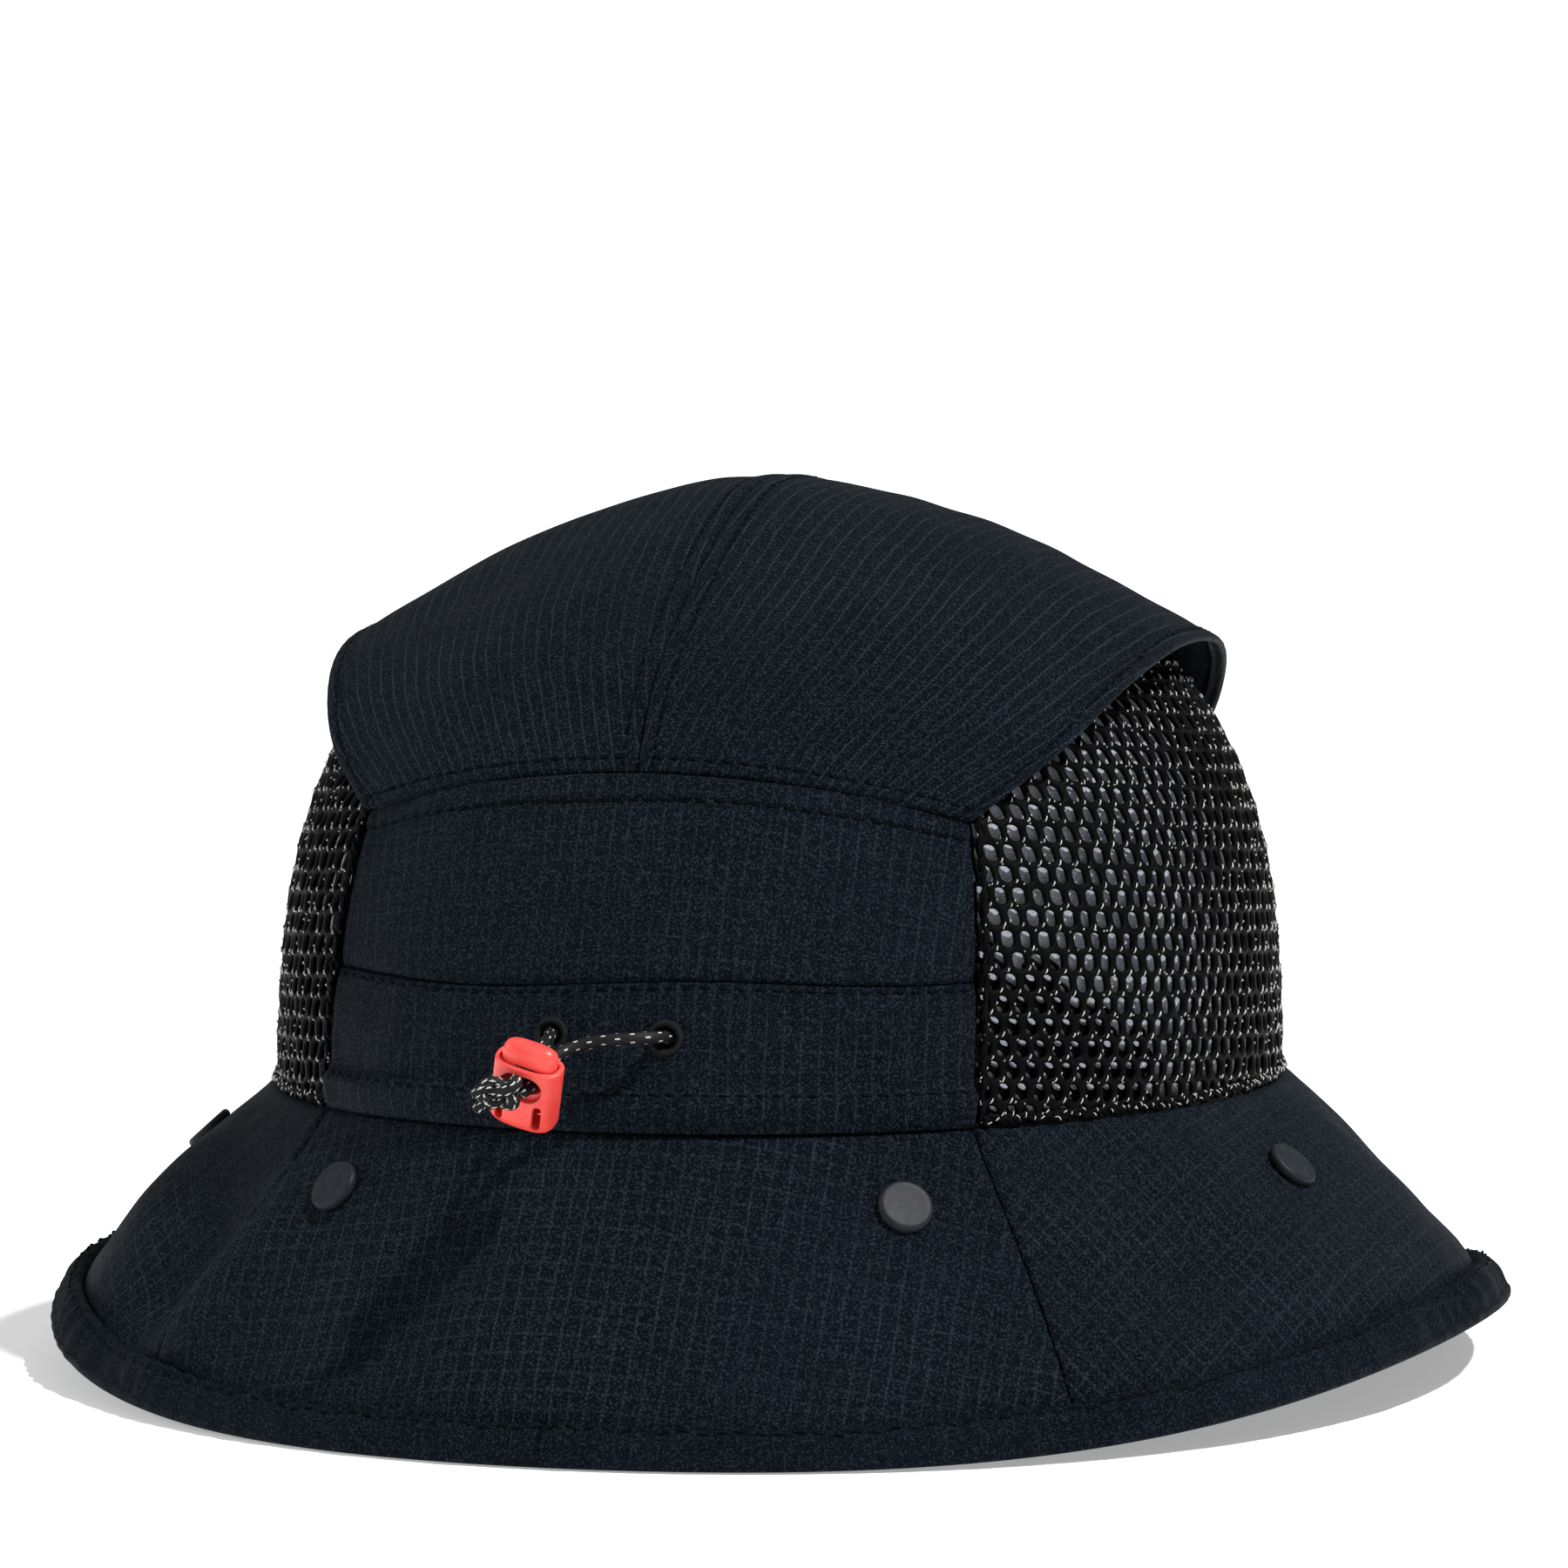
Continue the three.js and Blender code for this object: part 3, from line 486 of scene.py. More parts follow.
# A round braid: strands cross over and under each other, and some of them show pale.
def braidShape(line, diameter, settings, paleEvery=4):
    run = runAlong(line)
    line = evenly(line, max(8, int(run[-1] / settings["ringStep"])))
    run = runAlong(line)
    sides = settings["sides"]
    turn = np.arange(sides) / sides
    one = settings["strands"] * (turn[None, :] + run[:, None] / settings["braidPitch"] / 2)
    other = settings["strands"] * (turn[None, :] - run[:, None] / settings["braidPitch"] / 2)
    oneBulge, otherBulge = np.abs(np.sin(math.pi * one)), np.abs(np.sin(math.pi * other))
    over = (np.floor(one) + np.floor(other)) % 2 < 1
    relief = np.where(over, oneBulge, otherBulge) ** 0.6
    ends = np.sqrt(np.clip(np.minimum(run, run[-1] - run) / 0.5, 0.02, 1))
    radius = diameter / 2 * ends[:, None] * (1 - settings["relief"] + settings["relief"] * relief)
    points, faces = tubeShape(line, radius, sides)
    pale = over & (np.floor(one) % paleEvery == 0) & (np.floor(other) % 4 == 0)
    return points, faces, np.concatenate([pale.ravel().astype(float), [0, 0]])


def addCords():
    knot = knotPiece()
    for name, route in cordRoutes.items():
        line = curveThrough(route, 0.25, 24)
        points, faces, pale = braidShape(line, cordSettings["diameter"], cordSettings)
        piece = makePiece(name + "_braid", points, faces, cordYarn, replaces=[name], marks=pale)
        path = evenly(line, 90) * mm
        float(runAlong(line)[-1] * mm)


# An overhand knot pulled tight in both ends, with the two short tails beside it.
def knotPiece():
    centre, size = np.array(knotSettings["centre"]), np.array(knotSettings["size"])
    t = np.linspace(0, 2 * math.pi, 160, endpoint=True)
    loops = np.stack([np.sin(t) + 2 * np.sin(2 * t), np.cos(t) - 2 * np.cos(2 * t),
                      -1.25 * np.sin(3 * t)], 1) / 3
    turnIt = np.array(Matrix.Rotation(math.radians(38), 3, "X") @ Matrix.Rotation(math.radians(25), 3, "Y"))
    body = loops @ turnIt.T * (size - knotSettings["yarn"] / 2) + centre
    parts = [body[:-1]]
    for tail in knotSettings["tails"]:
        parts.append(curveThrough(centre + np.array(tail), 0.25, knotSettings["tailSteps"]))
    braid = {**cordSettings, **knotSettings["braid"]}
    shapes = []
    for i, line in enumerate(parts):
        yarn = knotSettings["yarn"] * (1.0 if i == 0 else knotSettings["tailShare"])
        shapes.append(braidShape(line, yarn, braid, knotSettings["paleEvery"]))
    points, faces = joined(shape[:2] for shape in shapes)
    marks = np.concatenate([shape[2] for shape in shapes])
    return makePiece("cord_knot_tied", points, faces, cordYarn, replaces=["cord_knot"], marks=marks)


addCords()
print("cords made")

# The hat's surfaces, as the frame has them. Angles run from the centre back towards the wearer's right.

hat = {
    "brimRise": 49, "crownHalfWidth": 85, "sideLift": 11, "innerHeight": 96.5,
    "seamAngle": math.radians(40), "archHeight": 56.5, "archDrop": 8, "channelHeight": 23,
    "cornerLift": 1.4,
}
hatHeart = np.array((0, 0, 30.0))


def at(x, y, z):
    return np.stack(np.broadcast_arrays(x, y, z), -1).astype(float)


def crownReach(rise):
    return 102 - 0.1137 * rise - 0.003533 * rise**2 - 0.0156 * np.maximum(0, rise - 50) ** 2


def climbAt(rise):
    return np.arcsin(np.clip(np.maximum(rise, 0) / hat["innerHeight"], 0, 1) ** 1.5)


def crownPoint(angle, climb):
    rise = hat["innerHeight"] * np.sin(climb) ** (2 / 3)
    halfWidth = hat["crownHalfWidth"] * np.maximum(np.cos(climb), 0) ** (2 / 2.1)
    return at(-halfWidth * np.sin(angle), crownReach(rise) * np.cos(angle), hat["brimRise"] + rise)


def archRise(angle):
    return hat["archHeight"] - hat["archDrop"] * (angle / hat["seamAngle"]) ** 2


def edgeLift(angle):
    return hat["sideLift"] * np.maximum(0, np.sin(angle) ** 2 - 0.04) ** 2 / 0.96**2


def flatBrimPoint(angle, reach):
    side = np.sin(angle) ** 2
    fall = side * (0.65 * reach + 0.35 * reach**2) + (1 - side) * (1.12 * reach - 0.12 * reach**2)
    return at(-(85 + 39.5 * reach) * np.sin(angle), (102 + 32 * reach) * np.cos(angle),
              49 - (49 - edgeLift(angle)) * fall)


archEnd = crownPoint(hat["seamAngle"], climbAt(archRise(hat["seamAngle"])))
ridgeTable = curveThrough([
    (0, -18, 150.4), (0, 0, 152), (0, 18, 150.4), (0, 32, 145.8), (0, 49.6, 137.1), (0, 62, 129.5),
    (0, 71.6, 122.4), (0, 78.6, 115), crownPoint(0, climbAt(hat["archHeight"])),
], 0.5, 60)
edgeTable = curveThrough([
    (73.4, -18, 123.4), (74, 0, 124.6), (73.4, 18, 123.4), (70.2, 36, 118.4), (62.2, 56, 107),
    (-archEnd[0] + hat["cornerLift"] * math.sin(hat["seamAngle"]),
     archEnd[1] + hat["cornerLift"] * math.cos(hat["seamAngle"]), archEnd[2]),
], 0.5, 60)


def alongTable(table, along):
    spans = (len(table) - 1) / 60
    middle = 1 / spans
    where = (middle + (1 - middle) * np.clip(along, 0, 1)) * (len(table) - 1)
    return np.stack([np.interp(where, np.arange(len(table)), table[:, k]) for k in range(3)], -1)


def topPoint(along, across):
    along, across = np.broadcast_arrays(np.asarray(along, float), np.asarray(across, float))
    ridge, edge = alongTable(ridgeTable, np.abs(along)), alongTable(edgeTable, np.abs(along))
    endness, out, turn = np.abs(along) ** 3, np.abs(across), hat["seamAngle"]
    width = out * (1 - endness) + np.sin(turn * out) / math.sin(turn) * endness
    forward = (1 - np.cos(turn * out)) / (1 - math.cos(turn))
    drop = out**1.7 * (1 - endness) + out**2 * endness
    return at(np.sign(across) * edge[..., 0] * width,
              np.sign(along) * (ridge[..., 1] - (ridge[..., 1] - edge[..., 1]) * forward),
              ridge[..., 2] - (ridge[..., 2] - edge[..., 2]) * drop)


def normalsOf(surface, u, v, step=2e-3):
    u, v = np.broadcast_arrays(np.asarray(u, float), np.asarray(v, float))
    du = surface(np.minimum(1, u + step), v) - surface(np.maximum(0, u - step), v)
    dv = surface(u, np.minimum(1, v + step)) - surface(u, np.maximum(0, v - step))
    normal = unit(np.cross(du, dv))
    away = np.sum(normal * (surface(u, v) - hatHeart), -1, keepdims=True)
    return np.where(away < 0, -normal, normal)


# Where grid lines go over a width in mm: even steps, with close ones at both ends and beside each seam.
def spaced(width, step, close=()):
    places = set(np.linspace(0, width, max(2, int(width / step)) + 1).tolist())
    for middle in (0, width, *close):
        for off in (0.15, 0.35, 0.6, 0.9, 1.3, 1.8):
            places.update((middle - off, middle + off))
    kept = []
    for place in sorted(p for p in places if 0 <= p <= width):
        if not kept or place - kept[-1] > 0.08:
            kept.append(place)
    kept[-1] = width
    return np.array(kept) / width


# The piece's flat cutting pattern, so that the weave lies in it as it does in cut cloth.
def flatPattern(surface, u, v):
    rail = np.linspace(0, 1, 60)
    low, high = runAlong(surface(rail, 0 * rail))[-1], runAlong(surface(rail, 0 * rail + 1))[-1]
    depth = runAlong(surface(0 * rail + 0.5, rail))[-1]
    if abs(high - low) < 0.02 * low:
        return np.stack([(u - 0.5) * (low + high) / 2, v * depth], -1)
    radius = depth * low / (high - low)
    turn = low / radius * (u - 0.5)
    return np.stack([(radius + depth * v) * np.sin(turn), (radius + depth * v) * np.cos(turn) - radius], -1)


def sizeOf(surface):
    rail = np.linspace(0, 1, 60)
    return (runAlong(surface(rail, 0 * rail + 0.5))[-1], runAlong(surface(0 * rail + 0.5, rail))[-1])


# A sewn sheet: outer and inner faces at their own heights over the surface, closed with round edges.
def clothShape(surface, u, v, outer, inner):
    u2, v2 = np.meshgrid(u, v, indexing="ij")
    base, normal = surface(u2, v2), normalsOf(surface, u2, v2)
    width, depth = sizeOf(surface)
    edgeOff = np.minimum(np.minimum(u2, 1 - u2) * width, np.minimum(v2, 1 - v2) * depth)
    top, bottom = outer(u2, v2, base), inner(u2, v2, base)
    middle, half = (top + bottom) / 2, (top - bottom) / 2
    roundness = np.sqrt(np.clip(1 - (1 - np.clip(edgeOff / np.maximum(half, 0.1), 0, 1)) ** 2, 0.0, 1))
    roundness = np.maximum(roundness, 0.12)
    upper = base + normal * (middle + half * roundness)[..., None]
    lower = base + normal * (middle - half * roundness)[..., None]
    points = np.vstack([upper.reshape(-1, 3), lower.reshape(-1, 3)])
    uv = flatPattern(surface, u2, v2).reshape(-1, 2)
    return points, sheetFaces(*u2.shape), np.vstack([uv, uv])


# Rows of stitches along a line on the cloth: each is one short thread that dips in at both ends.
def stitchShape(line, normal, settings):
    run = runAlong(line)
    pitch = settings["length"] + settings["gap"]
    count = int(run[-1] / pitch)
    if count < 1:
        return np.zeros((0, 3)), []
    start = (np.arange(count) + 0.5) * run[-1] / count
    here = np.stack([np.interp(start, run, line[:, k]) for k in range(3)], 1)
    before = np.stack([np.interp(start - 0.3, run, line[:, k]) for k in range(3)], 1)
    after = np.stack([np.interp(start + 0.3, run, line[:, k]) for k in range(3)], 1)
    up = unit(np.stack([np.interp(start, run, normal[:, k]) for k in range(3)], 1))
    ahead = unit(after - before)
    side = unit(np.cross(ahead, up))
    shares = np.array([-1, -0.86, -0.45, 0, 0.45, 0.86, 1])
    thick = np.array([0.25, 0.72, 1, 1, 1, 0.72, 0.25])
    lift = np.array([-0.9, -0.25, 0.25, 0.35, 0.25, -0.25, -0.9])
    turns = np.arange(6) / 6 * 2 * math.pi
    half, radius = settings["length"] / 2, settings["width"] / 2
    sway = np.random.RandomState(settings["seed"]).normal(size=(count, 2)) * 0.05
    rings = (here[:, None, None] + ahead[:, None, None] * (shares * half)[None, :, None, None]
             + up[:, None, None] * ((lift * radius)[None, :, None, None] + sway[:, None, None, :1] * 0.5)
             + side[:, None, None] * (sway[:, None, None, 1:] + 0.06 * shares[None, :, None, None])
             + radius * thick[None, :, None, None] * (np.cos(turns)[None, None, :, None] * side[:, None, None]
                                                      + np.sin(turns)[None, None, :, None] * up[:, None, None]))
    faces = []
    for i in range(count):
        faces += stackFaces(len(shares), len(turns), i * len(shares) * len(turns))
    return rings.reshape(-1, 3), faces


stitching = {"length": 2.0, "gap": 0.8, "width": 0.46, "seed": 3}


def addStitches(name, rows, **changes):
    settings = {**stitching, **changes}
    points, faces = joined(stitchShape(line, normal, settings) for line, normal in rows)
    return makePiece(name, points, faces, stitchThread)


# A line over a cloth's outer face, for stitches.
def overCloth(surface, outer, u, v):
    base, normal = surface(u, v), normalsOf(surface, u, v)
    return base + normal * (outer(u, v, base) + 0.02)[..., None], normal


def toLeft(surface):
    return lambda u, v: surface(u, v) * np.array((-1, 1, 1))


def toFront(surface):
    return lambda u, v: surface(u, v) * np.array((1, -1, 1))


def groove(distance, depth, width):
    return -depth * np.exp(-(distance / width) ** 2)


crownTop = {
    "step": 1.7, "thickness": 0.75, "hemWidth": 3.4, "hemPuff": 0.45, "hemStitch": 2.6, "seamStitch": 3.4,
    "archStitch": 3.0, "seamDip": 0.3, "wave": 0.6, "waveSize": 58, "fine": 0.16, "fineSize": 17,
}


def topSurface(side):
    return lambda u, v: topPoint(2 * u - 1, side * (0.0005 + 0.9995 * v))


def addCrownTop():
    s = crownTop
    for name, side, seed in (("crown_top_right", -1, 11), ("crown_top_left", 1, 23)):
        surface = topSurface(side)
        length, depth = sizeOf(surface)

        def outer(u, v, base, seed=seed):
            fromSeam, fromEdge = v * depth, (1 - v) * depth
            fromEnd = np.minimum(u, 1 - u) * length
            calm = smoothStep(0, 12, fromSeam) * smoothStep(0, 9, fromEdge) * smoothStep(0, 10, fromEnd)
            height = calm * s["wave"] * ripple(base, s["waveSize"], seed)
            height = height + s["fine"] * calm * ripple(base, s["fineSize"], seed + 1)
            height = height - 2 * s["seamDip"] * np.exp(-fromSeam / 0.45)
            height = height + 0.4 * smoothStep(5.0, 3.4, fromSeam)
            height = height + groove(fromSeam - s["seamStitch"], 0.42, 0.55)
            height = height + s["hemPuff"] * smoothStep(s["hemWidth"] + 0.7, s["hemWidth"] - 0.6, fromEdge)
            height = height + groove(fromEdge - s["hemStitch"], 0.36, 0.5)
            height = height - 0.75 * np.exp(-fromEnd / 0.9) + 0.3 * smoothStep(4.6, 3.2, fromEnd)
            height = height + groove(fromEnd - s["archStitch"], 0.42, 0.6)
            pucker = 0.07 * np.sin(u * length * 2 * math.pi / 5.3 + 2 * ripple(base, 25, seed + 5))
            return height + pucker * np.exp(-((fromEdge - s["hemStitch"]) / 2.2) ** 2)

        def inner(u, v, base):
            hem = smoothStep(s["hemWidth"] + 0.7, s["hemWidth"] - 0.6, (1 - v) * depth)
            return outer(u, v, base) - s["thickness"] - 0.55 * hem

        u = spaced(length, s["step"], (s["archStitch"], length - s["archStitch"]))
        v = spaced(depth, s["step"], (s["seamStitch"], depth - s["hemStitch"], depth - s["hemWidth"]))
        points, faces, uv = clothShape(surface, u, v, outer, inner)
        makePiece(name + "_cloth", points, faces, crownCloth, replaces=[name], uv=uv)
        run = np.linspace(0.004, 0.996, 400)
        rows = [overCloth(surface, outer, run, 0 * run + s["seamStitch"] / depth),
                overCloth(surface, outer, run, 0 * run + 1 - s["hemStitch"] / depth)]
        down = np.linspace(0.03, 0.985, 200)
        for end in (s["archStitch"] / length, 1 - s["archStitch"] / length):
            rows.append(overCloth(surface, outer, 0 * down + end, down))
        addStitches(name + "_stitches", rows, seed=seed)
    # tape over the seam on the inside
    tapeHalf, reach = 4.5, 0.94

    def tape(u, v):
        along = reach * (2 * u - 1)
        edge = alongTable(edgeTable, np.abs(along))
        across = (2 * v - 1) * tapeHalf / edge[..., 0]
        return topPoint(along, np.where(np.abs(across) < 1e-6, 1e-6, across))

    def tapeOuter(u, v, base):
        return -1.65 + 0.08 * ripple(base, 12, 5) + 0.15 * np.exp(-(np.abs(v - 0.5) * 9 - 3.5) ** 2)

    points, faces, uv = clothShape(tape, np.linspace(0, 1, 110), np.linspace(0, 1, 15), tapeOuter,
                                   lambda u, v, base: tapeOuter(u, v, base) - 0.45)
    makePiece("crown_seam_tape_cloth", points, faces, bindingCloth, replaces=["crown_seam_tape"],
              uv=uv)


addCrownTop()
print("crown top made")


def crownPatch(fromAngle, toAngle, lowRise, highRise):
    def surface(u, v):
        angle = fromAngle + (toAngle - fromAngle) * np.asarray(u, float)
        low = climbAt(lowRise(angle) if callable(lowRise) else lowRise)
        high = climbAt(highRise(angle) if callable(highRise) else highRise)
        return crownPoint(angle, low + (high - low) * v)
    return surface


# The channel's top seam is gathered a little, so it wanders up and down.
def channelTop(angle):
    ends = np.cos(angle / hat["seamAngle"] * math.pi / 2)
    return hat["channelHeight"] + 1.1 * np.sin(angle * 5.2 + 0.6) * ends


panels = {"step": 1.5, "thickness": 0.8, "wave": 0.5, "fine": 0.14, "band": 5.6, "baseStitch": 3.0}


def addPanels():
    s = panels
    turn = hat["seamAngle"]
    upper = crownPatch(-turn, turn, channelTop, archRise)
    lower = crownPatch(-turn, turn, 0.0, channelTop)
    jobs = [
        ("rear_upper_panel", upper, "upper", 31), ("rear_channel_panel", lower, "channel", 37),
        ("front_upper_panel", toFront(upper), "upper", 41),
        ("front_lower_panel", toFront(lower), "channel", 47),
    ]
    allRows = []
    for name, surface, kind, seed in jobs:
        width, depth = sizeOf(surface)

        def outer(u, v, base, kind=kind, seed=seed, width=width, depth=depth, rear=name[:4] == "rear"):
            fromSide, fromTop, fromLow = np.minimum(u, 1 - u) * width, (1 - v) * depth, v * depth
            calm = smoothStep(0, 14, fromSide) * smoothStep(0, 7, fromTop) * smoothStep(0, 6, fromLow)
            height = s["wave"] * calm * ripple(base, 46, seed) + s["fine"] * calm * ripple(base, 13, seed + 1)
            height = height - 0.85 * np.exp(-fromTop / 0.7) - 0.6 * np.exp(-fromLow / 0.7)
            height = height - 0.35 * np.exp(-fromSide / 0.8) + 0.25 * smoothStep(3.0, 1.6, fromSide)
            if kind == "upper":
                height = height + 0.35 * smoothStep(s["band"] + 1.2, s["band"] - 0.8, fromTop)
                height = height + groove(fromTop - s["band"], 0.42, 0.6) - 0.15 * smoothStep(3, 0, fromLow)
            else:
                # the casing is full of cord and gathers round the eyelets
                casing = np.sin(np.clip(v, 0, 1) * math.pi) ** 0.7
                seamBulge = 1.7 * smoothStep(s["baseStitch"] + 1.4, s["baseStitch"] - 0.8, fromLow)
                height = height + 0.6 * casing + seamBulge
                height = height + groove(fromLow - s["baseStitch"], 0.32, 0.6)
                height = height + groove(fromTop - 1.8, 0.18, 0.5)
                x = base[..., 0]
                if rear:
                    for eye in (-9.6, 9.6):
                        off = np.hypot(x - eye, (base[..., 2] - 64) * 1.1)
                        height = height - 0.8 * np.exp(-((off / 4.2) ** 2))
                    gathers = np.exp(-((np.abs(x) - 17) / 9) ** 2)
                    height = height + 0.22 * gathers * casing * np.sin(x * 1.25 + 0.35 * base[..., 2])
            return height

        def inner(u, v, base, outer=outer):
            return outer(u, v, base) - s["thickness"]

        close = (depth - s["band"],) if kind == "upper" else (s["baseStitch"], depth - 1.8)
        across, up = spaced(width, s["step"]), spaced(depth, s["step"], close)
        points, faces, uv = clothShape(surface, across, up, outer, inner)
        piece = makePiece(name + "_cloth", points, faces, ripstopCloth, replaces=[name], uv=uv)
        if name == "rear_channel_panel":
            cutEyelets(piece)
        run = np.linspace(0.006, 0.994, 300)
        offs = [1 - s["band"] / depth] if kind == "upper" else [s["baseStitch"] / depth, 1 - 1.8 / depth]
        for off in offs:
            allRows.append(overCloth(surface, outer, run, 0 * run + off))
    addStitches("panel_stitches", allRows, seed=5)


eyelet = {"offset": 9.6, "rise": 15.0, "hole": 1.75, "outer": 3.1, "wraps": 46, "height": 0.95}


def eyeletPlace(side):
    angle = side * math.asin(eyelet["offset"] / hat["crownHalfWidth"])
    patch = crownPatch(-hat["seamAngle"], hat["seamAngle"], 0.0, 23)
    u = (angle / hat["seamAngle"] + 1) / 2
    v = float(climbAt(eyelet["rise"]) / climbAt(23))
    return patch(u, v), normalsOf(patch, u, v)


def cutEyelets(piece):
    for side in (-1, 1):
        place, normal = eyeletPlace(side)
        drill = bmesh.new()
        hole = eyelet["hole"] * mm
        bmesh.ops.create_cone(drill, cap_ends=True, segments=32, radius1=hole, radius2=hole, depth=14 * mm)
        mesh = bpy.data.meshes.new("drill")
        drill.to_mesh(mesh)
        drill.free()
        tool = bpy.data.objects.new("drill", mesh)
        bpy.context.scene.collection.objects.link(tool)
        aim = Vector(normal).to_track_quat("Z", "Y").to_matrix().to_4x4()
        tool.matrix_world = Matrix.Translation(Vector(place) * mm) @ aim
        cutWith(piece, tool)


def cutWith(piece, tool, job="DIFFERENCE"):
    bpy.context.view_layer.update()
    cut = piece.modifiers.new("cut", "BOOLEAN")
    cut.operation, cut.object, cut.solver = job, tool, "EXACT"
    applyModifiers(piece)
    bpy.data.objects.remove(tool)


def applyModifiers(piece):
    bpy.context.view_layer.update()
    shaped = piece.evaluated_get(bpy.context.evaluated_depsgraph_get())
    mesh = bpy.data.meshes.new_from_object(shaped)
    piece.modifiers.clear()
    piece.data = mesh
    smoothFaces(piece)


# Satin stitches wound round each hole.
def addEyelets():
    for name, side in (("eyelet_right", 1), ("eyelet_left", -1)):
        place, normal = eyeletPlace(side)
        turnIt = np.array(Vector(normal).to_track_quat("Z", "Y").to_matrix())
        around = np.linspace(0, 2 * math.pi, eyelet["wraps"] * 6, endpoint=False)
        lap = np.linspace(0, 2 * math.pi, 17)[:-1]
        wrap = 0.5 + 0.5 * np.abs(np.sin(around * eyelet["wraps"] / 2))
        middle, half = (eyelet["hole"] + eyelet["outer"]) / 2, (eyelet["outer"] - eyelet["hole"]) / 2
        ragged = 1 + 0.07 * np.sin(around * 7 + side) + 0.05 * np.sin(around * 17)
        thick = (0.80 + 0.2 * wrap)[:, None]
        radius = middle + half * ragged[:, None] * thick * np.cos(lap)[None]
        height = -0.35 + eyelet["height"] * thick * np.maximum(np.sin(lap)[None], -0.6)
        ring = np.stack([radius * np.cos(around)[:, None], radius * np.sin(around)[:, None], height], -1)
        points = ring.reshape(-1, 3) @ turnIt.T + place
        faces = wrapFaces(*ring.shape[:2])
        makePiece(name + "_embroidery", points, faces, eyeletThread, replaces=[name])


addPanels()
addEyelets()
print("panels made")


net = {
    "pitch": 3.65, "rowPitch": 3.5, "tilt": math.radians(-4), "holeHalf": (1.14, 1.34), "slant": -0.10,
    "crest": 0.46, "edgeHeight": 0.02, "back": -0.72, "from": 40.0, "to": 140.0, "low": 0.15, "high": 86.0,
    "sway": 0.13,
}


climbTable = np.linspace(0, 90, 400)


def swayAt(flat, sway):
    x, y = flat[..., 0], flat[..., 1]
    return sway * (np.sin(x * 0.9 + y * 0.31) + np.sin(y * 0.8 - x * 0.2))


# Lays the net's flat coordinates, in mm from the middle of the side and up from the base, on the crown.
def netPlace(flat, fromAngle, toAngle, low, high, depth):
    line = crownPoint(math.pi / 2, climbAt(climbTable))
    run = runAlong(line)
    rise = np.clip(np.interp(flat[..., 1], run, climbTable), low, high)
    climb = climbAt(rise)
    halfWidth = hat["crownHalfWidth"] * np.cos(climb) ** (2 / 2.1)
    around = 0.55 * crownReach(rise) + 0.45 * halfWidth
    angle = math.pi / 2 + flat[..., 0] / around
    angle = np.clip(angle, math.radians(fromAngle), math.radians(toAngle))
    point = crownPoint(angle, climb)
    flatOut = unit(at(-np.sin(angle) / 85, np.cos(angle) / 102, np.zeros_like(angle)))
    tilt = np.sin(climb)[..., None]
    normal = unit(flatOut * (1 - 0.55 * tilt**2) + np.array((0, 0, 1.0)) * 0.75 * tilt**1.3)
    return point + normal * np.asarray(depth)[..., None], angle, rise, normal


def netShape(settings, shift=(0, 0), depth=0.0, keep=None, seed=1):
    s = settings
    waves = np.random.RandomState(seed)
    pitch, rowPitch = s["pitch"], s["rowPitch"]
    corner = 2 / 3 * rowPitch
    hexagon = np.array([(0, corner), (pitch / 2, corner / 2), (pitch / 2, -corner / 2),
                        (0, -corner), (-pitch / 2, -corner / 2), (-pitch / 2, corner / 2)])
    outline = np.empty((12, 2))
    outline[0::2] = hexagon
    outline[1::2] = (hexagon + np.roll(hexagon, -1, axis=0)) / 2
    turn = np.arctan2(outline[:, 0], outline[:, 1])
    c, n = np.sin(turn), np.cos(turn)
    power = 2 / 2.6
    holeShape = np.stack([np.sign(c) * np.abs(c) ** power, np.sign(n) * np.abs(n) ** power], 1)
    hole = holeShape * s["holeHalf"]
    hole[:, 0] += s["slant"] * hole[:, 1]
    middle = outline * 0.5 + hole * 0.5
    nearHole = outline * 0.16 + hole * 0.84
    layers = [(outline, s["crest"]), (middle, s["crest"] * 0.9), (nearHole, s["crest"] * 0.45),
              (hole, s["edgeHeight"] - 0.1), (middle, s["back"]), (outline, s["back"] * 1.05)]
    spin = np.array([[math.cos(s["tilt"]), -math.sin(s["tilt"])], [math.sin(s["tilt"]), math.cos(s["tilt"])]])
    flats, heights = [], []
    for row in range(-3, 36):
        for column in range(-34, 35):
            centre = spin @ np.array([(column + (row % 2) * 0.5) * pitch, row * rowPitch]) + shift
            if not (-100 < centre[0] < 100 and -2.0 < centre[1] < 112):
                continue
            jitter = waves.normal(size=2) * 0.05
            for k, (ring, height) in enumerate(layers):
                flats.append((ring + (jitter if 0 < k < 5 else 0)) @ spin.T + centre)
                heights.append(np.full(12, height))
    flats, heights = np.array(flats), np.array(heights)
    cells = len(flats) // len(layers)
    heights = heights + depth + swayAt(flats, s["sway"])
    place, angle, rise, _ = netPlace(flats, s["from"], s["to"], s["low"], s["high"], heights)
    faces = []
    good = []
    angle3 = angle.reshape(cells, len(layers), 12)
    rise3 = rise.reshape(cells, len(layers), 12)
    for cell in range(cells):
        a, r = angle3[cell, 0], rise3[cell, 0]
        wide, tall = a.max() - a.min(), r.max() - r.min()
        ok = wide > 0.012 and tall > 1.0
        if ok and keep is not None:
            ok = keep(a.mean(), r.mean())
        good.append(ok)
        if not ok:
            continue
        start = cell * len(layers) * 12
        for k in range(len(layers) - 1):
            for i in range(12):
                j = (i + 1) % 12
                p, q = start + k * 12, start + (k + 1) * 12
                faces.append([p + i, p + j, q + j, q + i])
    return place.reshape(-1, 3), faces, np.array(good), flats.reshape(cells, len(layers), 12, 2)


def flipped(points):
    return points * np.array((-1, 1, 1))
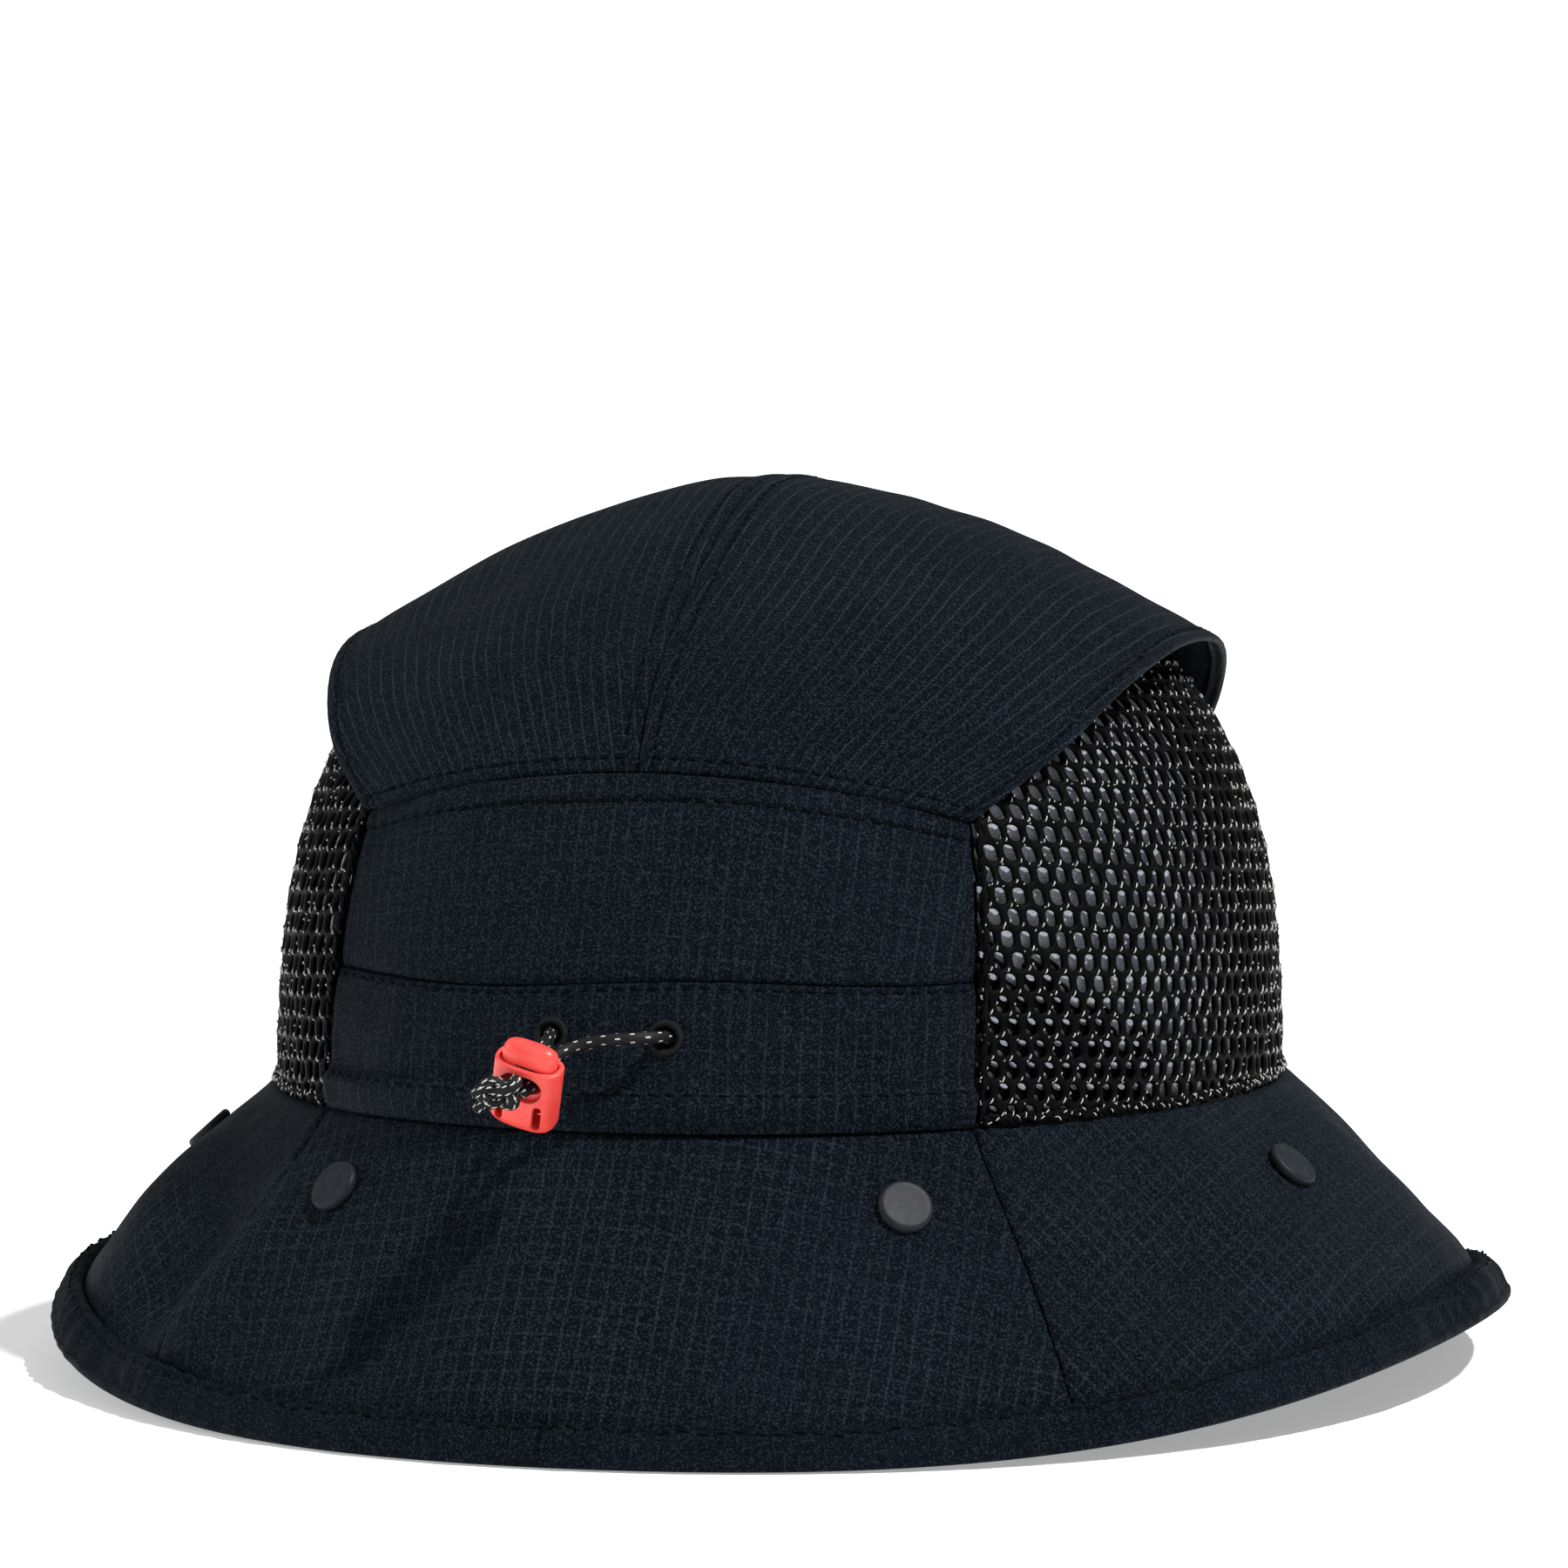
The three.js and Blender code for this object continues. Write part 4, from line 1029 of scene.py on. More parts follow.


# A painted highlight shows as a short pale dash beside each hole, at the same corner of each; pale yarn shows
# as dots between them.
def fleckAndHighlightShape(flats, good, settings, seed):
    chance = np.random.RandomState(seed)
    lines = []
    for cell in np.flatnonzero(good):
        centre = flats[cell, 3].mean(0)
        # the painted highlight: the same pale dash at the same place beside every hole
        marks = [((1.30, -1.42), (0.34, 0.50), 0.80)]
        if chance.rand() < 0.65:
            marks.append(((chance.uniform(-1.5, 1.5), chance.choice((-1.9, 1.9))), (0.12, 0.16), 0.9))
        if chance.rand() < 0.5:
            marks.append(((-1.35, chance.uniform(-0.8, 0.8)), (0.10, 0.26), 0.9))
        for off, reach, odds in marks:
            if chance.rand() > odds:
                continue
            size = chance.uniform(0.65, 1.15)
            wobble = chance.normal(size=2) * 0.12
            middle, half = centre + off + wobble, np.array(reach) * size
            lines.append((middle - half, middle + half))
    lines = np.array(lines)
    count = len(lines)
    share = np.array([0.0, 0.2, 0.5, 0.8, 1.0])
    flat = lines[:, :1] * (1 - share)[None, :, None] + lines[:, 1:] * share[None, :, None]
    lift = settings["crest"] + np.array([-0.12, 0.08, 0.14, 0.08, -0.12])
    inset = 0.6
    place, _, _, normal = netPlace(flat, settings["from"] + inset, settings["to"] - inset,
                                   settings["low"] + inset, settings["high"] - inset,
                                   lift + swayAt(flat, settings["sway"]))
    ahead = unit(np.gradient(place, axis=1) + 1e-9)
    side = unit(np.cross(ahead, normal))
    thick = np.array([0.03, 0.10, 0.13, 0.10, 0.03])[None, :, None, None]
    thick = thick * chance.uniform(0.75, 1.15, (count, 1, 1, 1))
    turns = np.arange(5) / 5 * 2 * math.pi
    rings = place[:, :, None] + thick * (np.cos(turns)[None, None, :, None] * side[:, :, None]
                                         + np.sin(turns)[None, None, :, None] * normal[:, :, None])
    faces = []
    for i in range(count):
        faces += stackFaces(len(share), len(turns), i * len(share) * len(turns))
    return rings.reshape(-1, 3), faces


# the pale dashes along the gathered edge are painted highlights
bundle = {"step": 0.8, "baseStrands": 5, "sideStrands": 3, "highlightEvery": 1.5, "highlightRadius": 0.095}


# The net's cut edge is gathered into the seams: loose strands that weave in and out along it.
def edgeBundle(line, outward, seed, strands, spread=1.1, thick=0.42):
    chance = np.random.RandomState(seed)
    run = runAlong(line)
    count = int(run[-1] / bundle["step"])
    path, runAt = evenly(line, count), np.linspace(0, run[-1], count)
    side = unit(np.cross(np.gradient(path, axis=0), outward))
    shapes = []
    for _ in range(strands):
        phase, length = chance.uniform(0, 6.3), chance.uniform(2.6, 4.2)
        turn = runAt * 2 * math.pi / length
        wobble = np.sin(turn + phase) + 0.5 * np.sin(turn / 2.3 + phase * 2)
        depth = np.cos(turn + phase * 1.3)
        moved = path + side * (spread * 0.55 * wobble)[:, None] + outward * (0.45 + 0.4 * depth)[:, None]
        radius = thick * (1 + 0.2 * np.sin(runAt * 2 * math.pi / 0.95 + phase))
        shapes.append(tubeShape(evenly(moved, count), radius[:, None], 7))
    return joined(shapes)


# Painted highlights: short pale dashes lying across the gathered edge, where light catches its strands.
def bundleHighlightDashes(line, outward, seed):
    chance = np.random.RandomState(seed)
    run = runAlong(line)
    shapes = []
    for where in np.arange(0.6, run[-1] - 0.6, bundle["highlightEvery"]):
        k = int(np.clip(np.searchsorted(run, where + chance.normal() * 0.25), 1, len(line) - 2))
        ahead, out = unit(line[k + 1] - line[k - 1]), unit(outward[k])
        side = unit(np.cross(ahead, out))
        middle = line[k] + out * 1.22 + side * chance.uniform(-0.8, 0.8)
        reach = ahead * chance.uniform(-0.45, 0.45) + side * chance.uniform(0.12, 0.42)
        share = np.linspace(-1, 1, 5)[:, None]
        dash = middle + share * reach - out * 0.18 * share**2
        shapes.append(tubeShape(dash, np.full((5, 1), bundle["highlightRadius"]), 5))
    return joined(shapes)


# Values along a line, at other even steps.
def resample(values, count):
    old, new = np.linspace(0, 1, len(values)), np.linspace(0, 1, count)
    return np.stack([np.interp(new, old, values[:, k]) for k in range(3)], 1)


gusset = {"width": 24.0, "top": 31.0, "low": 9.0}


def behindSeam(angle, rise):
    off = abs(math.degrees(angle) - 40)
    off = min(off, abs(140 - math.degrees(angle)))
    limit = gusset["top"] + (gusset["low"] - gusset["top"]) * off / gusset["width"]
    return off < gusset["width"] and rise < limit + 2.5 * math.sin(off * 0.9)


def addNet():
    points, faces, good, flats = netShape(net, seed=7)
    second = {**net, "crest": 0.2, "edgeHeight": -0.1, "back": -0.25, "holeHalf": (1.45, 1.45), "sway": 0.0}
    backPoints, backFaces, _, _ = netShape(second, shift=(1.5, 1.6), depth=-0.95, keep=behindSeam, seed=9)
    # painted highlights beside the holes, with pale yarn dots between them
    fleckAndHighlightPoints, fleckAndHighlightFaces = fleckAndHighlightShape(flats, good, net, 12)
    baseAngle = np.radians(np.linspace(41, 139, 400))
    base = crownPoint(baseAngle, climbAt(0 * baseAngle + 0.8))
    out = unit(at(-np.sin(baseAngle) / 85, np.cos(baseAngle) / 102, 0 * baseAngle))
    outBase = out * 0.85 + np.array((0, 0, 0.35))
    for side, sign in (("right", 1), ("left", -1)):
        mirror = (lambda p: p) if sign > 0 else flipped
        makePiece(f"side_mesh_{side}_net", mirror(points), faces, netYarn,
                  replaces=[f"side_mesh_{side}"], tidy=0.02)
        # painted highlights and pale dots, made in pale yarn
        makePiece(f"side_mesh_{side}_flecks", mirror(fleckAndHighlightPoints), fleckAndHighlightFaces, paleYarnAndHighlight)
        makePiece(f"channel_gusset_{side}_net", mirror(backPoints), backFaces, netYarn,
                  replaces=[f"channel_gusset_{side}"], tidy=0.02)
        count = int(runAlong(base)[-1] / bundle["step"])
        bundles = [edgeBundle(base, resample(outBase, count), 21, bundle["baseStrands"])]
        for angle in (40.9, 139.1):
            rise = np.linspace(0.5, 49, 200)
            a = 0 * rise + math.radians(angle)
            line = crownPoint(a, climbAt(rise))
            outward = unit(at(-np.sin(a) / 85, np.cos(a) / 102, 0 * a))
            count = int(runAlong(line)[-1] / bundle["step"])
            bundles.append(edgeBundle(line, resample(outward, count), 22, bundle["sideStrands"], 0.8, 0.36))
        edgePoints, edgeFaces = joined(bundles)
        makePiece(f"side_mesh_{side}_edge", mirror(edgePoints), edgeFaces, netYarn)
        # painted highlights on the gathered edge, made in pale yarn
        highlightDashPoints, highlightDashFaces = bundleHighlightDashes(base, outBase, 31)
        makePiece(f"side_mesh_{side}_edge_painted_highlights", mirror(highlightDashPoints), highlightDashFaces, paleYarnAndHighlight)


lining = {"depth": -1.45, "thickness": 0.55}


def addLining():
    def lowRise(angle):
        sideness = smoothStep(0.61, 0.67, np.abs(np.sin(angle)))
        return 31 + (0.5 - 31) * sideness

    def half(u, v):
        angle = math.pi * np.asarray(u, float)
        low = climbAt(lowRise(angle))
        climb = low + (math.pi / 2 - 0.006 - low) * np.asarray(v, float) ** 1.2
        return crownPoint(angle, climb) - np.array((0.15, 0, 0))

    for name, surface, seed in (("crown_lining_right", half, 61), ("crown_lining_left", toLeft(half), 67)):
        def outer(u, v, base, seed=seed):
            calm = smoothStep(0, 0.04, np.minimum(u, 1 - u)) * smoothStep(0, 0.1, v) * smoothStep(1, 0.9, v)
            waves = 0.22 * ripple(base, 40, seed) + 0.06 * ripple(base, 9, seed + 2)
            return lining["depth"] + calm * waves - 0.25 * calm

        points, faces, uv = clothShape(surface, np.linspace(0, 1, 150), np.linspace(0, 1, 70), outer,
                                       lambda u, v, base: outer(u, v, base) - lining["thickness"])
        makePiece(name + "_cloth", points, faces, liningCloth, replaces=[name], uv=uv)


addNet()
addLining()
print("net and lining made")


band = {"depth": 3.6, "extraAtBack": 2.4, "thickness": 1.0, "top": 28, "bottom": 2.2, "stitch": 25.6}


def bandFace(angle):
    return band["depth"] + band["extraAtBack"] * np.maximum(0, np.cos(angle)) ** 4


def addSweatband():
    s = band
    steps = 360
    angle = np.arange(steps) / steps * 2 * math.pi
    rises = np.concatenate([[-2.2, -2.0, -1.5, -0.6], np.linspace(0.6, 24, 16),
                            [25, 25.6, 26.2, 27, 27.6, 27.9, 28]])
    flatOut = unit(at(-np.sin(angle) / 85, np.cos(angle) / 102, 0 * angle))

    def face(rise, depth):
        wall = crownPoint(angle, climbAt(0 * angle + max(0, rise)))
        moved = wall - flatOut * np.asarray(depth)[..., None]
        moved[:, 2] = hat["brimRise"] + rise
        return moved

    def puffAt(rise):
        edge = min(rise + s["bottom"], s["top"] - rise)
        return 0.5 * math.sqrt(max(0.05, 1 - (1 - min(1, edge / 0.5)) ** 2))

    rings = []
    for rise in rises:
        puff, stitched = puffAt(rise), 0.16 * math.exp(-((rise - s["stitch"]) / 0.6) ** 2)
        ripples = 0.12 * ripple(face(rise, bandFace(angle)), 15, 71)
        rings.append(face(rise, bandFace(angle) + 0.5 - puff * s["thickness"] + stitched - ripples * 0.4))
    for rise in rises[::-1]:
        puff, stitched = puffAt(rise), 0.18 * math.exp(-((rise - s["stitch"]) / 0.6) ** 2)
        rings.append(face(rise, bandFace(angle) + 0.5 + puff * s["thickness"] - stitched))
    ring = np.stack(rings, 1)
    faces = wrapFaces(*ring.shape[:2])
    upAndDown = np.concatenate([rises, rises[::-1]])
    uv = np.stack(np.broadcast_arrays(angle[:, None] * 92, upAndDown[None]), -1).reshape(-1, 2)
    makePiece("sweatband_knit", ring.reshape(-1, 3), faces, bandCloth,
              replaces=["sweatband"], uv=uv)
    line = face(s["stitch"], bandFace(angle) + 1.05)
    closed = np.vstack([line, line[:1]])
    inward = -np.vstack([flatOut, flatOut[:1]])
    addStitches("sweatband_stitches", [(closed, inward)], seed=73)


labelSettings = {"width": 24.0, "height": 14.0, "thickness": 0.5, "tilt": 8.0}


# A blank woven label: a folded ribbon with ribs across and stitches along its top.
def addLabel():
    low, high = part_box("size_label")
    middle = np.array((low + high) / 2) / mm
    s = labelSettings
    tilt = math.radians(s["tilt"])
    across, up = np.linspace(-1, 1, 61), np.linspace(-1, 1, 41)
    x, z = np.meshgrid(across, up, indexing="ij")
    edge = np.minimum((1 - np.abs(x)) * s["width"] / 2, (1 - np.abs(z)) * s["height"] / 2)
    puff = np.sqrt(np.clip(edge / 0.5, 0.03, 1)) * 0.5
    rib = 0.04 * np.sin(z * s["height"] / 2 * 2 * math.pi / 0.7)
    bow = 0.35 * (1 - x**2)
    wide, tall = x * s["width"] / 2, z * s["height"] / 2
    front = np.stack([wide, -(puff * s["thickness"] + rib * puff) - bow, tall], -1)
    back = np.stack([wide, puff * s["thickness"] * 0.8 - bow, tall], -1)
    spin = np.array(Matrix.Rotation(tilt, 3, "X"))
    points = np.vstack([front.reshape(-1, 3), back.reshape(-1, 3)]) @ spin.T + middle
    makePiece("size_label_woven", points, sheetFaces(*x.shape), labelCloth, replaces=["size_label"])
    run = np.linspace(-0.92, 0.92, 60)
    line = np.stack([run * s["width"] / 2, -0.28 - 0.35 * (1 - run**2), 0 * run + 0.82 * s["height"] / 2], 1)
    rows = [(line @ spin.T + middle, np.tile(np.array([0, -1.0, 0]), (len(run), 1)))]
    addStitches("size_label_stitches", rows, length=1.4, gap=0.5, width=0.26)


addSweatband()
addLabel()
print("sweatband made")


snapPlaces = {
    "rear_right": (30.5, 0.235), "side_right": (76, 0.345), "front_right": (149.5, 0.235),
    "front_left": (210.5, 0.235), "side_left": (284, 0.345), "rear_left": (329.5, 0.235),
}
# Soft folds: angle and half width in degrees, height in mm, the reach where each is highest, and its lean.
brimFolds = [
    (-36, 5.0, 4.0, 0.68, -6), (-47, 5.5, -4.6, 0.64, -5), (-61, 7.0, 3.4, 0.56, 0), (-84, 7.5, -1.6, 0.5, 0),
    (-104, 12.0, -3.2, 0.45, 0),
    (-18, 7.0, -1.8, 0.6, 5), (-2, 11.0, 1.6, 0.62, 3), (19, 7.5, -1.4, 0.7, -4), (44, 6.0, 1.4, 0.66, 3),
    (56, 7.0, -1.7, 0.6, 4), (92, 9.0, 1.3, 0.62, 0), (104, 10.0, -1.3, 0.6, 0), (126, 9.0, 1.5, 0.6, 4),
    (141, 7.0, -1.6, 0.62, 0), (168, 11.0, 1.4, 0.6, -4), (190, 10.0, -1.5, 0.6, 3), (232, 9.0, 1.8, 0.6, 4),
    (250, 9.0, -1.7, 0.6, -3),
]
brim = {
    "step": 1.7, "thickness": 0.85, "seamDip": 0.7, "wave": 0.45, "fine": 0.13, "edge": 0.892,
    "underStitch": 0.86,
}


def foldHeight(angle, reach):
    degrees = np.degrees(angle)
    height = 0 * degrees * reach
    for where, half, tall, peak, lean in brimFolds:
        off = (degrees - where - lean * (reach - 0.4) + 180) % 360 - 180
        bell = np.exp(-((off / half) ** 2))
        rise = np.where(reach < peak, smoothStep(0.05, peak, reach), smoothStep(1.0, peak, reach))
        height = height + tall * bell * rise
    calm = 1.0
    for where, place in snapPlaces.values():
        off = (degrees - where + 180) % 360 - 180
        calm = calm * (1 - np.exp(-((off / 5.5) ** 2 + ((reach - place) / 0.16) ** 2)))
    return height * calm


def wholeBrim(u, v):
    return flatBrimPoint(2 * math.pi * np.asarray(u, float), np.asarray(v, float))


def brimPoint(angle, reach):
    angle, reach = np.broadcast_arrays(np.asarray(angle, float), np.asarray(reach, float))
    flat = flatBrimPoint(angle, reach)
    share = (angle / (2 * math.pi)) % 1 * 0.998 + 0.001
    normal = normalsOf(lambda u, v: flatBrimPoint(u * 2 * math.pi, v), share, reach)
    return flat + normal * foldHeight(angle, reach)[..., None]


def brimPatch(fromAngle, toAngle):
    return lambda u, v: brimPoint(np.radians(fromAngle + (toAngle - fromAngle) * np.asarray(u, float)),
                                  brim["edge"] * np.asarray(v, float))


def snapDimple(base):
    total = 0
    for where, reach in snapPlaces.values():
        centre = flatBrimPoint(math.radians(where), reach)
        off = np.linalg.norm(base - centre, axis=-1)
        total = total - 0.35 * np.exp(-((off / 5.6) ** 2))
    return total


def addBrim():
    s = brim
    edges = [-40, 40, 140, 220, 320]
    for i, name in enumerate(("rear", "right", "front", "left")):
        surface = brimPatch(edges[i], edges[i + 1])
        width, depth = sizeOf(surface)

        def outer(u, v, base, width=width, depth=depth, seed=80 + i):
            fromSide, fromLow, fromTop = np.minimum(u, 1 - u) * width, (1 - v) * depth, v * depth
            calm = smoothStep(0, 8, fromSide) * smoothStep(0, 6, fromTop) * smoothStep(0, 6, fromLow)
            height = s["wave"] * calm * ripple(base, 52, seed) + s["fine"] * calm * ripple(base, 15, seed + 9)
            height = height - s["seamDip"] * np.exp(-fromSide / 0.8) + 0.25 * smoothStep(4.5, 2.5, fromSide)
            height = height + 0.35 * smoothStep(5, 2, fromTop) - 0.7 * np.exp(-fromTop / 0.8)
            pucker = 0.12 * np.sin(u * width * 2 * math.pi / 6.1 + 3 * ripple(base, 30, seed + 4))
            height = height + snapDimple(base) + pucker * np.exp(-fromLow / 4)
            return height - 0.9 * np.exp(-fromLow / 1.6)

        def inner(u, v, base, outer=outer):
            return outer(u, v, base) - s["thickness"]

        across, down = spaced(width, s["step"]), spaced(depth, s["step"])
        points, faces, uv = clothShape(surface, across, down, outer, inner)
        makePiece(f"brim_{name}_cloth", points, faces, brimCloth, replaces=[f"brim_{name}"], uv=uv)
    rows = []
    for name, start in (("rear", -90), ("front", 90)):
        surface = brimPatch(start, start + 180)

        def under(u, v, base, seed=90):
            return -1.5 + 0.12 * ripple(base, 24, seed) + snapDimple(base) * 0.6

        points, faces, uv = clothShape(surface, np.linspace(0, 1, 220), np.linspace(0, 1, 34), under,
                                       lambda u, v, base: under(u, v, base) - 0.6)
        makePiece(f"underbrim_{name}_cloth", points, faces, underbrimCloth,
                  replaces=[f"underbrim_{name}"], uv=uv)
        # rows of stitching that hold the brim's layers together, seen on the underside
        run = np.linspace(0.002, 0.998, 500)
        along = 0 * run + s["underStitch"] / s["edge"]
        normal = -normalsOf(surface, run, along)
        rows.append((surface(run, along) + normal * 2.12, normal))
    addStitches("underbrim_stitches", rows, seed=91)


binding = {"steps": 900, "puff": 1.15, "wave": 0.55, "stitchRow": 6}


def addBinding():
    s = binding
    angle = (np.arange(s["steps"]) + 0.5) / s["steps"] * 2 * math.pi
    out = unit(at(-np.sin(angle) / 124.5, np.cos(angle) / 134, 0 * angle))
    edge = flatBrimPoint(angle, 1.0)
    lift = edgeLift(angle)

    def off(reach, height):
        base = brimPoint(angle, reach)
        normal = normalsOf(wholeBrim, angle / (2 * math.pi), reach)
        return base + normal * height

    def foot(outward, height):
        moved = edge + out * outward
        moved[:, 2] = lift + height
        return moved

    # reach and height over the brim, then distance out and height at the rim, then under the brim
    over = [(0.866, 0.15), (0.871, 1.25), (0.895, 2.05), (0.935, 2.2), (0.97, 1.75)]
    rim = [(0.9, 1.9), (1.0, 0.75), (0.4, 0.12), (-1.2, 0.0), (-2.8, 0.25)]
    under = [(0.945, -2.9), (0.91, -3.1), (0.88, -2.8), (0.872, -1.6)]
    outline = [off(*pair) for pair in over] + [foot(*pair) for pair in rim] + [off(*pair) for pair in under]
    control = np.stack(outline, 1)
    # smooth closed section through the outline
    fine = 44
    share = np.arange(fine) / fine * control.shape[1]
    i = np.floor(share).astype(int)
    t = (share - i)[None, :, None]
    count = control.shape[1]
    a, b, c, d = (control[:, (i + k) % count] for k in (-1, 0, 1, 2))
    ring = 0.5 * (2 * b + (c - a) * t + (2 * a - 5 * b + 4 * c - d) * t**2 + (3 * b - a - 3 * c + d) * t**3)
    middle = ring.mean(1, keepdims=True)
    away = unit(ring - middle)
    upper = np.clip(np.sin(share / count * 2 * math.pi + 0.2), 0, 1)[None, :]
    run = runAlong(np.vstack([edge, edge[:1]]))[:-1]
    phase = 1.4 * ripple(edge, 40, 95)
    pucker = (0.5 + 0.5 * np.sin(run * 2 * math.pi / 7.3 + 4 * phase))[:, None] * upper
    wave = ripple(ring.reshape(-1, 3), 26, 97).reshape(ring.shape[:2]) * s["wave"]
    fineWave = ripple(ring.reshape(-1, 3), 8, 99).reshape(ring.shape[:2]) * 0.09
    offset = s["puff"] * 0.5 * (pucker - 0.4) + (wave + fineWave) * upper
    # the join at the centre back, where the binding's ends overlap
    nearJoin = np.abs(((angle + math.pi) % (2 * math.pi)) - math.pi) * 134
    lap = 0.35 * smoothStep(7, 5.5, nearJoin) - 0.6 * np.exp(-((nearJoin - 5.8) / 0.5) ** 2)
    offset = offset + lap[:, None] * upper
    ring = ring + away * offset[..., None]
    ring[..., 2] = np.maximum(ring[..., 2], lift[:, None])
    faces = wrapFaces(*ring.shape[:2])
    around = runAlong(np.vstack([ring[0], ring[0][:1]]))[:-1]
    uv = np.stack(np.broadcast_arrays(run[:, None], around[None]), -1).reshape(-1, 2)
    piece = makePiece("brim_binding_padded", ring.reshape(-1, 3), faces, bindingCloth,
                      replaces=["brim_binding"], uv=uv)
    edgeRow = s["stitchRow"]
    line, normal = ring[:, edgeRow] + away[:, edgeRow] * 0.02, away[:, edgeRow]
    line, normal = np.vstack([line, line[:1]]), np.vstack([normal, normal[:1]])
    addStitches("brim_binding_stitches", [(line, normal)], seed=98, length=2.2)


addBrim()
addBinding()
print("brim made")


snap = {"radius": 4.5, "base": -0.1, "top": 1.35, "dish": 0.06, "post": 0.8, "postEnd": -4.0}


def turnedShape(outline, steps, turnIt, place):
    outline = np.array(outline, float)
    turn = np.arange(steps) / steps * 2 * math.pi
    ring = np.stack([outline[None, :, 0] * np.cos(turn)[:, None], outline[None, :, 0] * np.sin(turn)[:, None],
                     np.broadcast_to(outline[None, :, 1], (steps, len(outline)))], -1)
    points = ring.reshape(-1, 3) @ turnIt.T + place
    return points, gridFaces(steps, len(outline), closed=True).tolist()


def addSnaps():
    s = snap
    radius, base, top, post, end = s["radius"], s["base"], s["top"], s["post"], s["postEnd"]
    arc = np.linspace(0, 1, 9) * math.pi / 2
    low, high = 0.45, 0.75
    cap = [(0.001, end), (post - 0.2, end), (post, end + 0.2), (post, base - 0.05), (radius - 0.5, base)]
    cap += [(radius - low + low * math.sin(a), base + low - low * math.cos(a)) for a in arc]
    cap += [(radius - high + high * math.cos(a), top - high + high * math.sin(a)) for a in arc]
    cap += [(r, top - s["dish"] * (1 - (r / 3.4) ** 2)) for r in np.linspace(3.4, 0.001, 10)]
    socket = [(1.3, -2.7), (1.3, -4.7), (1.5, -4.95), (2.2, -4.95), (2.5, -4.6), (3.2, -4.5), (3.7, -4.2),
              (4.0, -3.7), (4.0, -3.0), (3.8, -2.72), (1.3, -2.7)]
    for name, (where, reach) in snapPlaces.items():
        u = where / 360
        place, normal = wholeBrim(u, reach), normalsOf(wholeBrim, u, reach)
        turnIt = np.array(Vector(normal).to_track_quat("Z", "Y").to_matrix())
        for part, outline, steps in (("cap", cap, 96), ("socket", socket, 64)):
            points, faces = turnedShape(outline, steps, turnIt, place)
            makePiece(f"snap_{part}_{name}_turned", points, faces, snapPaint,
                      replaces=[f"snap_{part}_{name}"], tidy=0.01)


addSnaps()
print("snaps made")


lock = {
    "centre": (8, 115, 58.5), "pitch": -25, "roll": -18.4, "yaw": -8.5, "halfWidth": 5.6, "halfDepth": 3.3,
    "wall": 0.75, "clearance": 0.3, "top": 3.7, "base": -8.3, "floor": -6.9, "holeHalfWidth": 3.6,
    "holeLow": -2.1, "holeHigh": 2.65, "slotAt": 3.2, "slotWidth": 1.45, "slotLow": -6.9, "slotHigh": -2.5,
    "slotDepth": 1.3, "domeTop": 6.8, "travel": 2.5, "pinchEdge": -1.0, "pinchTop": 1.25, "plungerBase": -2.4,
    "corners": 128, "toolReach": 7.0,
}
lockTurn = (Matrix.Rotation(math.radians(lock["yaw"]), 3, "Z")
            @ Matrix.Rotation(math.radians(lock["pitch"]), 3, "X")
            @ Matrix.Rotation(math.radians(lock["roll"]), 3, "Y"))
lockPlace = Matrix.Translation(Vector(lock["centre"]) * mm) @ lockTurn.to_4x4()


def lockRing(halfWidth, halfDepth, height):
    turn = np.arange(lock["corners"]) / lock["corners"] * 2 * math.pi
    c, s = np.cos(turn), np.sin(turn)
    power = 2 / 2.7
    return np.stack([halfWidth * np.sign(c) * np.abs(c) ** power, halfDepth * np.sign(s) * np.abs(s) ** power,
                     np.full_like(turn, height)], 1)


# An upright block of the lock's oval outline; levels are height and inset, from the bottom up.
def lockBlock(name, halfWidth, halfDepth, levels):
    rings = [lockRing(halfWidth - inset, halfDepth - inset, height) for height, inset in levels]
    return meshObject(name, np.vstack(rings), stackFaces(len(rings), lock["corners"]))


def rounding(low, high, lowRound, highRound, steps=7):
    turn = np.linspace(0, 1, steps) * math.pi / 2
    levels = [(low + lowRound * (1 - math.cos(t)), lowRound * (1 - math.sin(t))) for t in turn]
    return levels + [(high - highRound * (1 - math.sin(t)), highRound * (1 - math.cos(t))) for t in turn]


# A cutting tool: an upright outline drawn out from front to back.
def prismTool(outline, front, back):
    points = [(x, y, z) for y in (front, back) for x, z in outline]
    return meshObject("tool", points, stackFaces(2, len(outline)))


# A slot with round ends, right through from front to back.
def slotTool(halfWidth, low, high):
    middle, radius = (low + high) / 2, (high - low) / 2
    straight = halfWidth - radius
    turn = np.linspace(-math.pi / 2, math.pi / 2, 15)
    outline = [(straight + radius * math.cos(a), middle + radius * math.sin(a)) for a in turn]
    outline += [(-straight - radius * math.cos(a), middle - radius * math.sin(a)) for a in turn]
    return prismTool(outline, -lock["toolReach"], lock["toolReach"])


# A shallow upright groove in the housing's face, with round ends.
def uprightSlot(x, y):
    s = lock
    radius = s["slotWidth"] / 2
    turn = np.linspace(0, math.pi, 13)
    outline = [(x + radius * math.cos(a), s["slotHigh"] - radius + radius * math.sin(a)) for a in turn]
    outline += [(x - radius * math.cos(a), s["slotLow"] + radius - radius * math.sin(a)) for a in turn]
    return prismTool(outline, y - s["slotDepth"], y + s["slotDepth"])


def softenEdges(piece, width):
    bevel = piece.modifiers.new("soft edges", "BEVEL")
    bevel.width, bevel.segments, bevel.limit_method = width * mm, 3, "ANGLE"
    bevel.angle_limit = math.radians(38)
    bevel.use_clamp_overlap = True
    applyModifiers(piece)
    piece.data.set_sharp_from_angle(angle=math.radians(50))


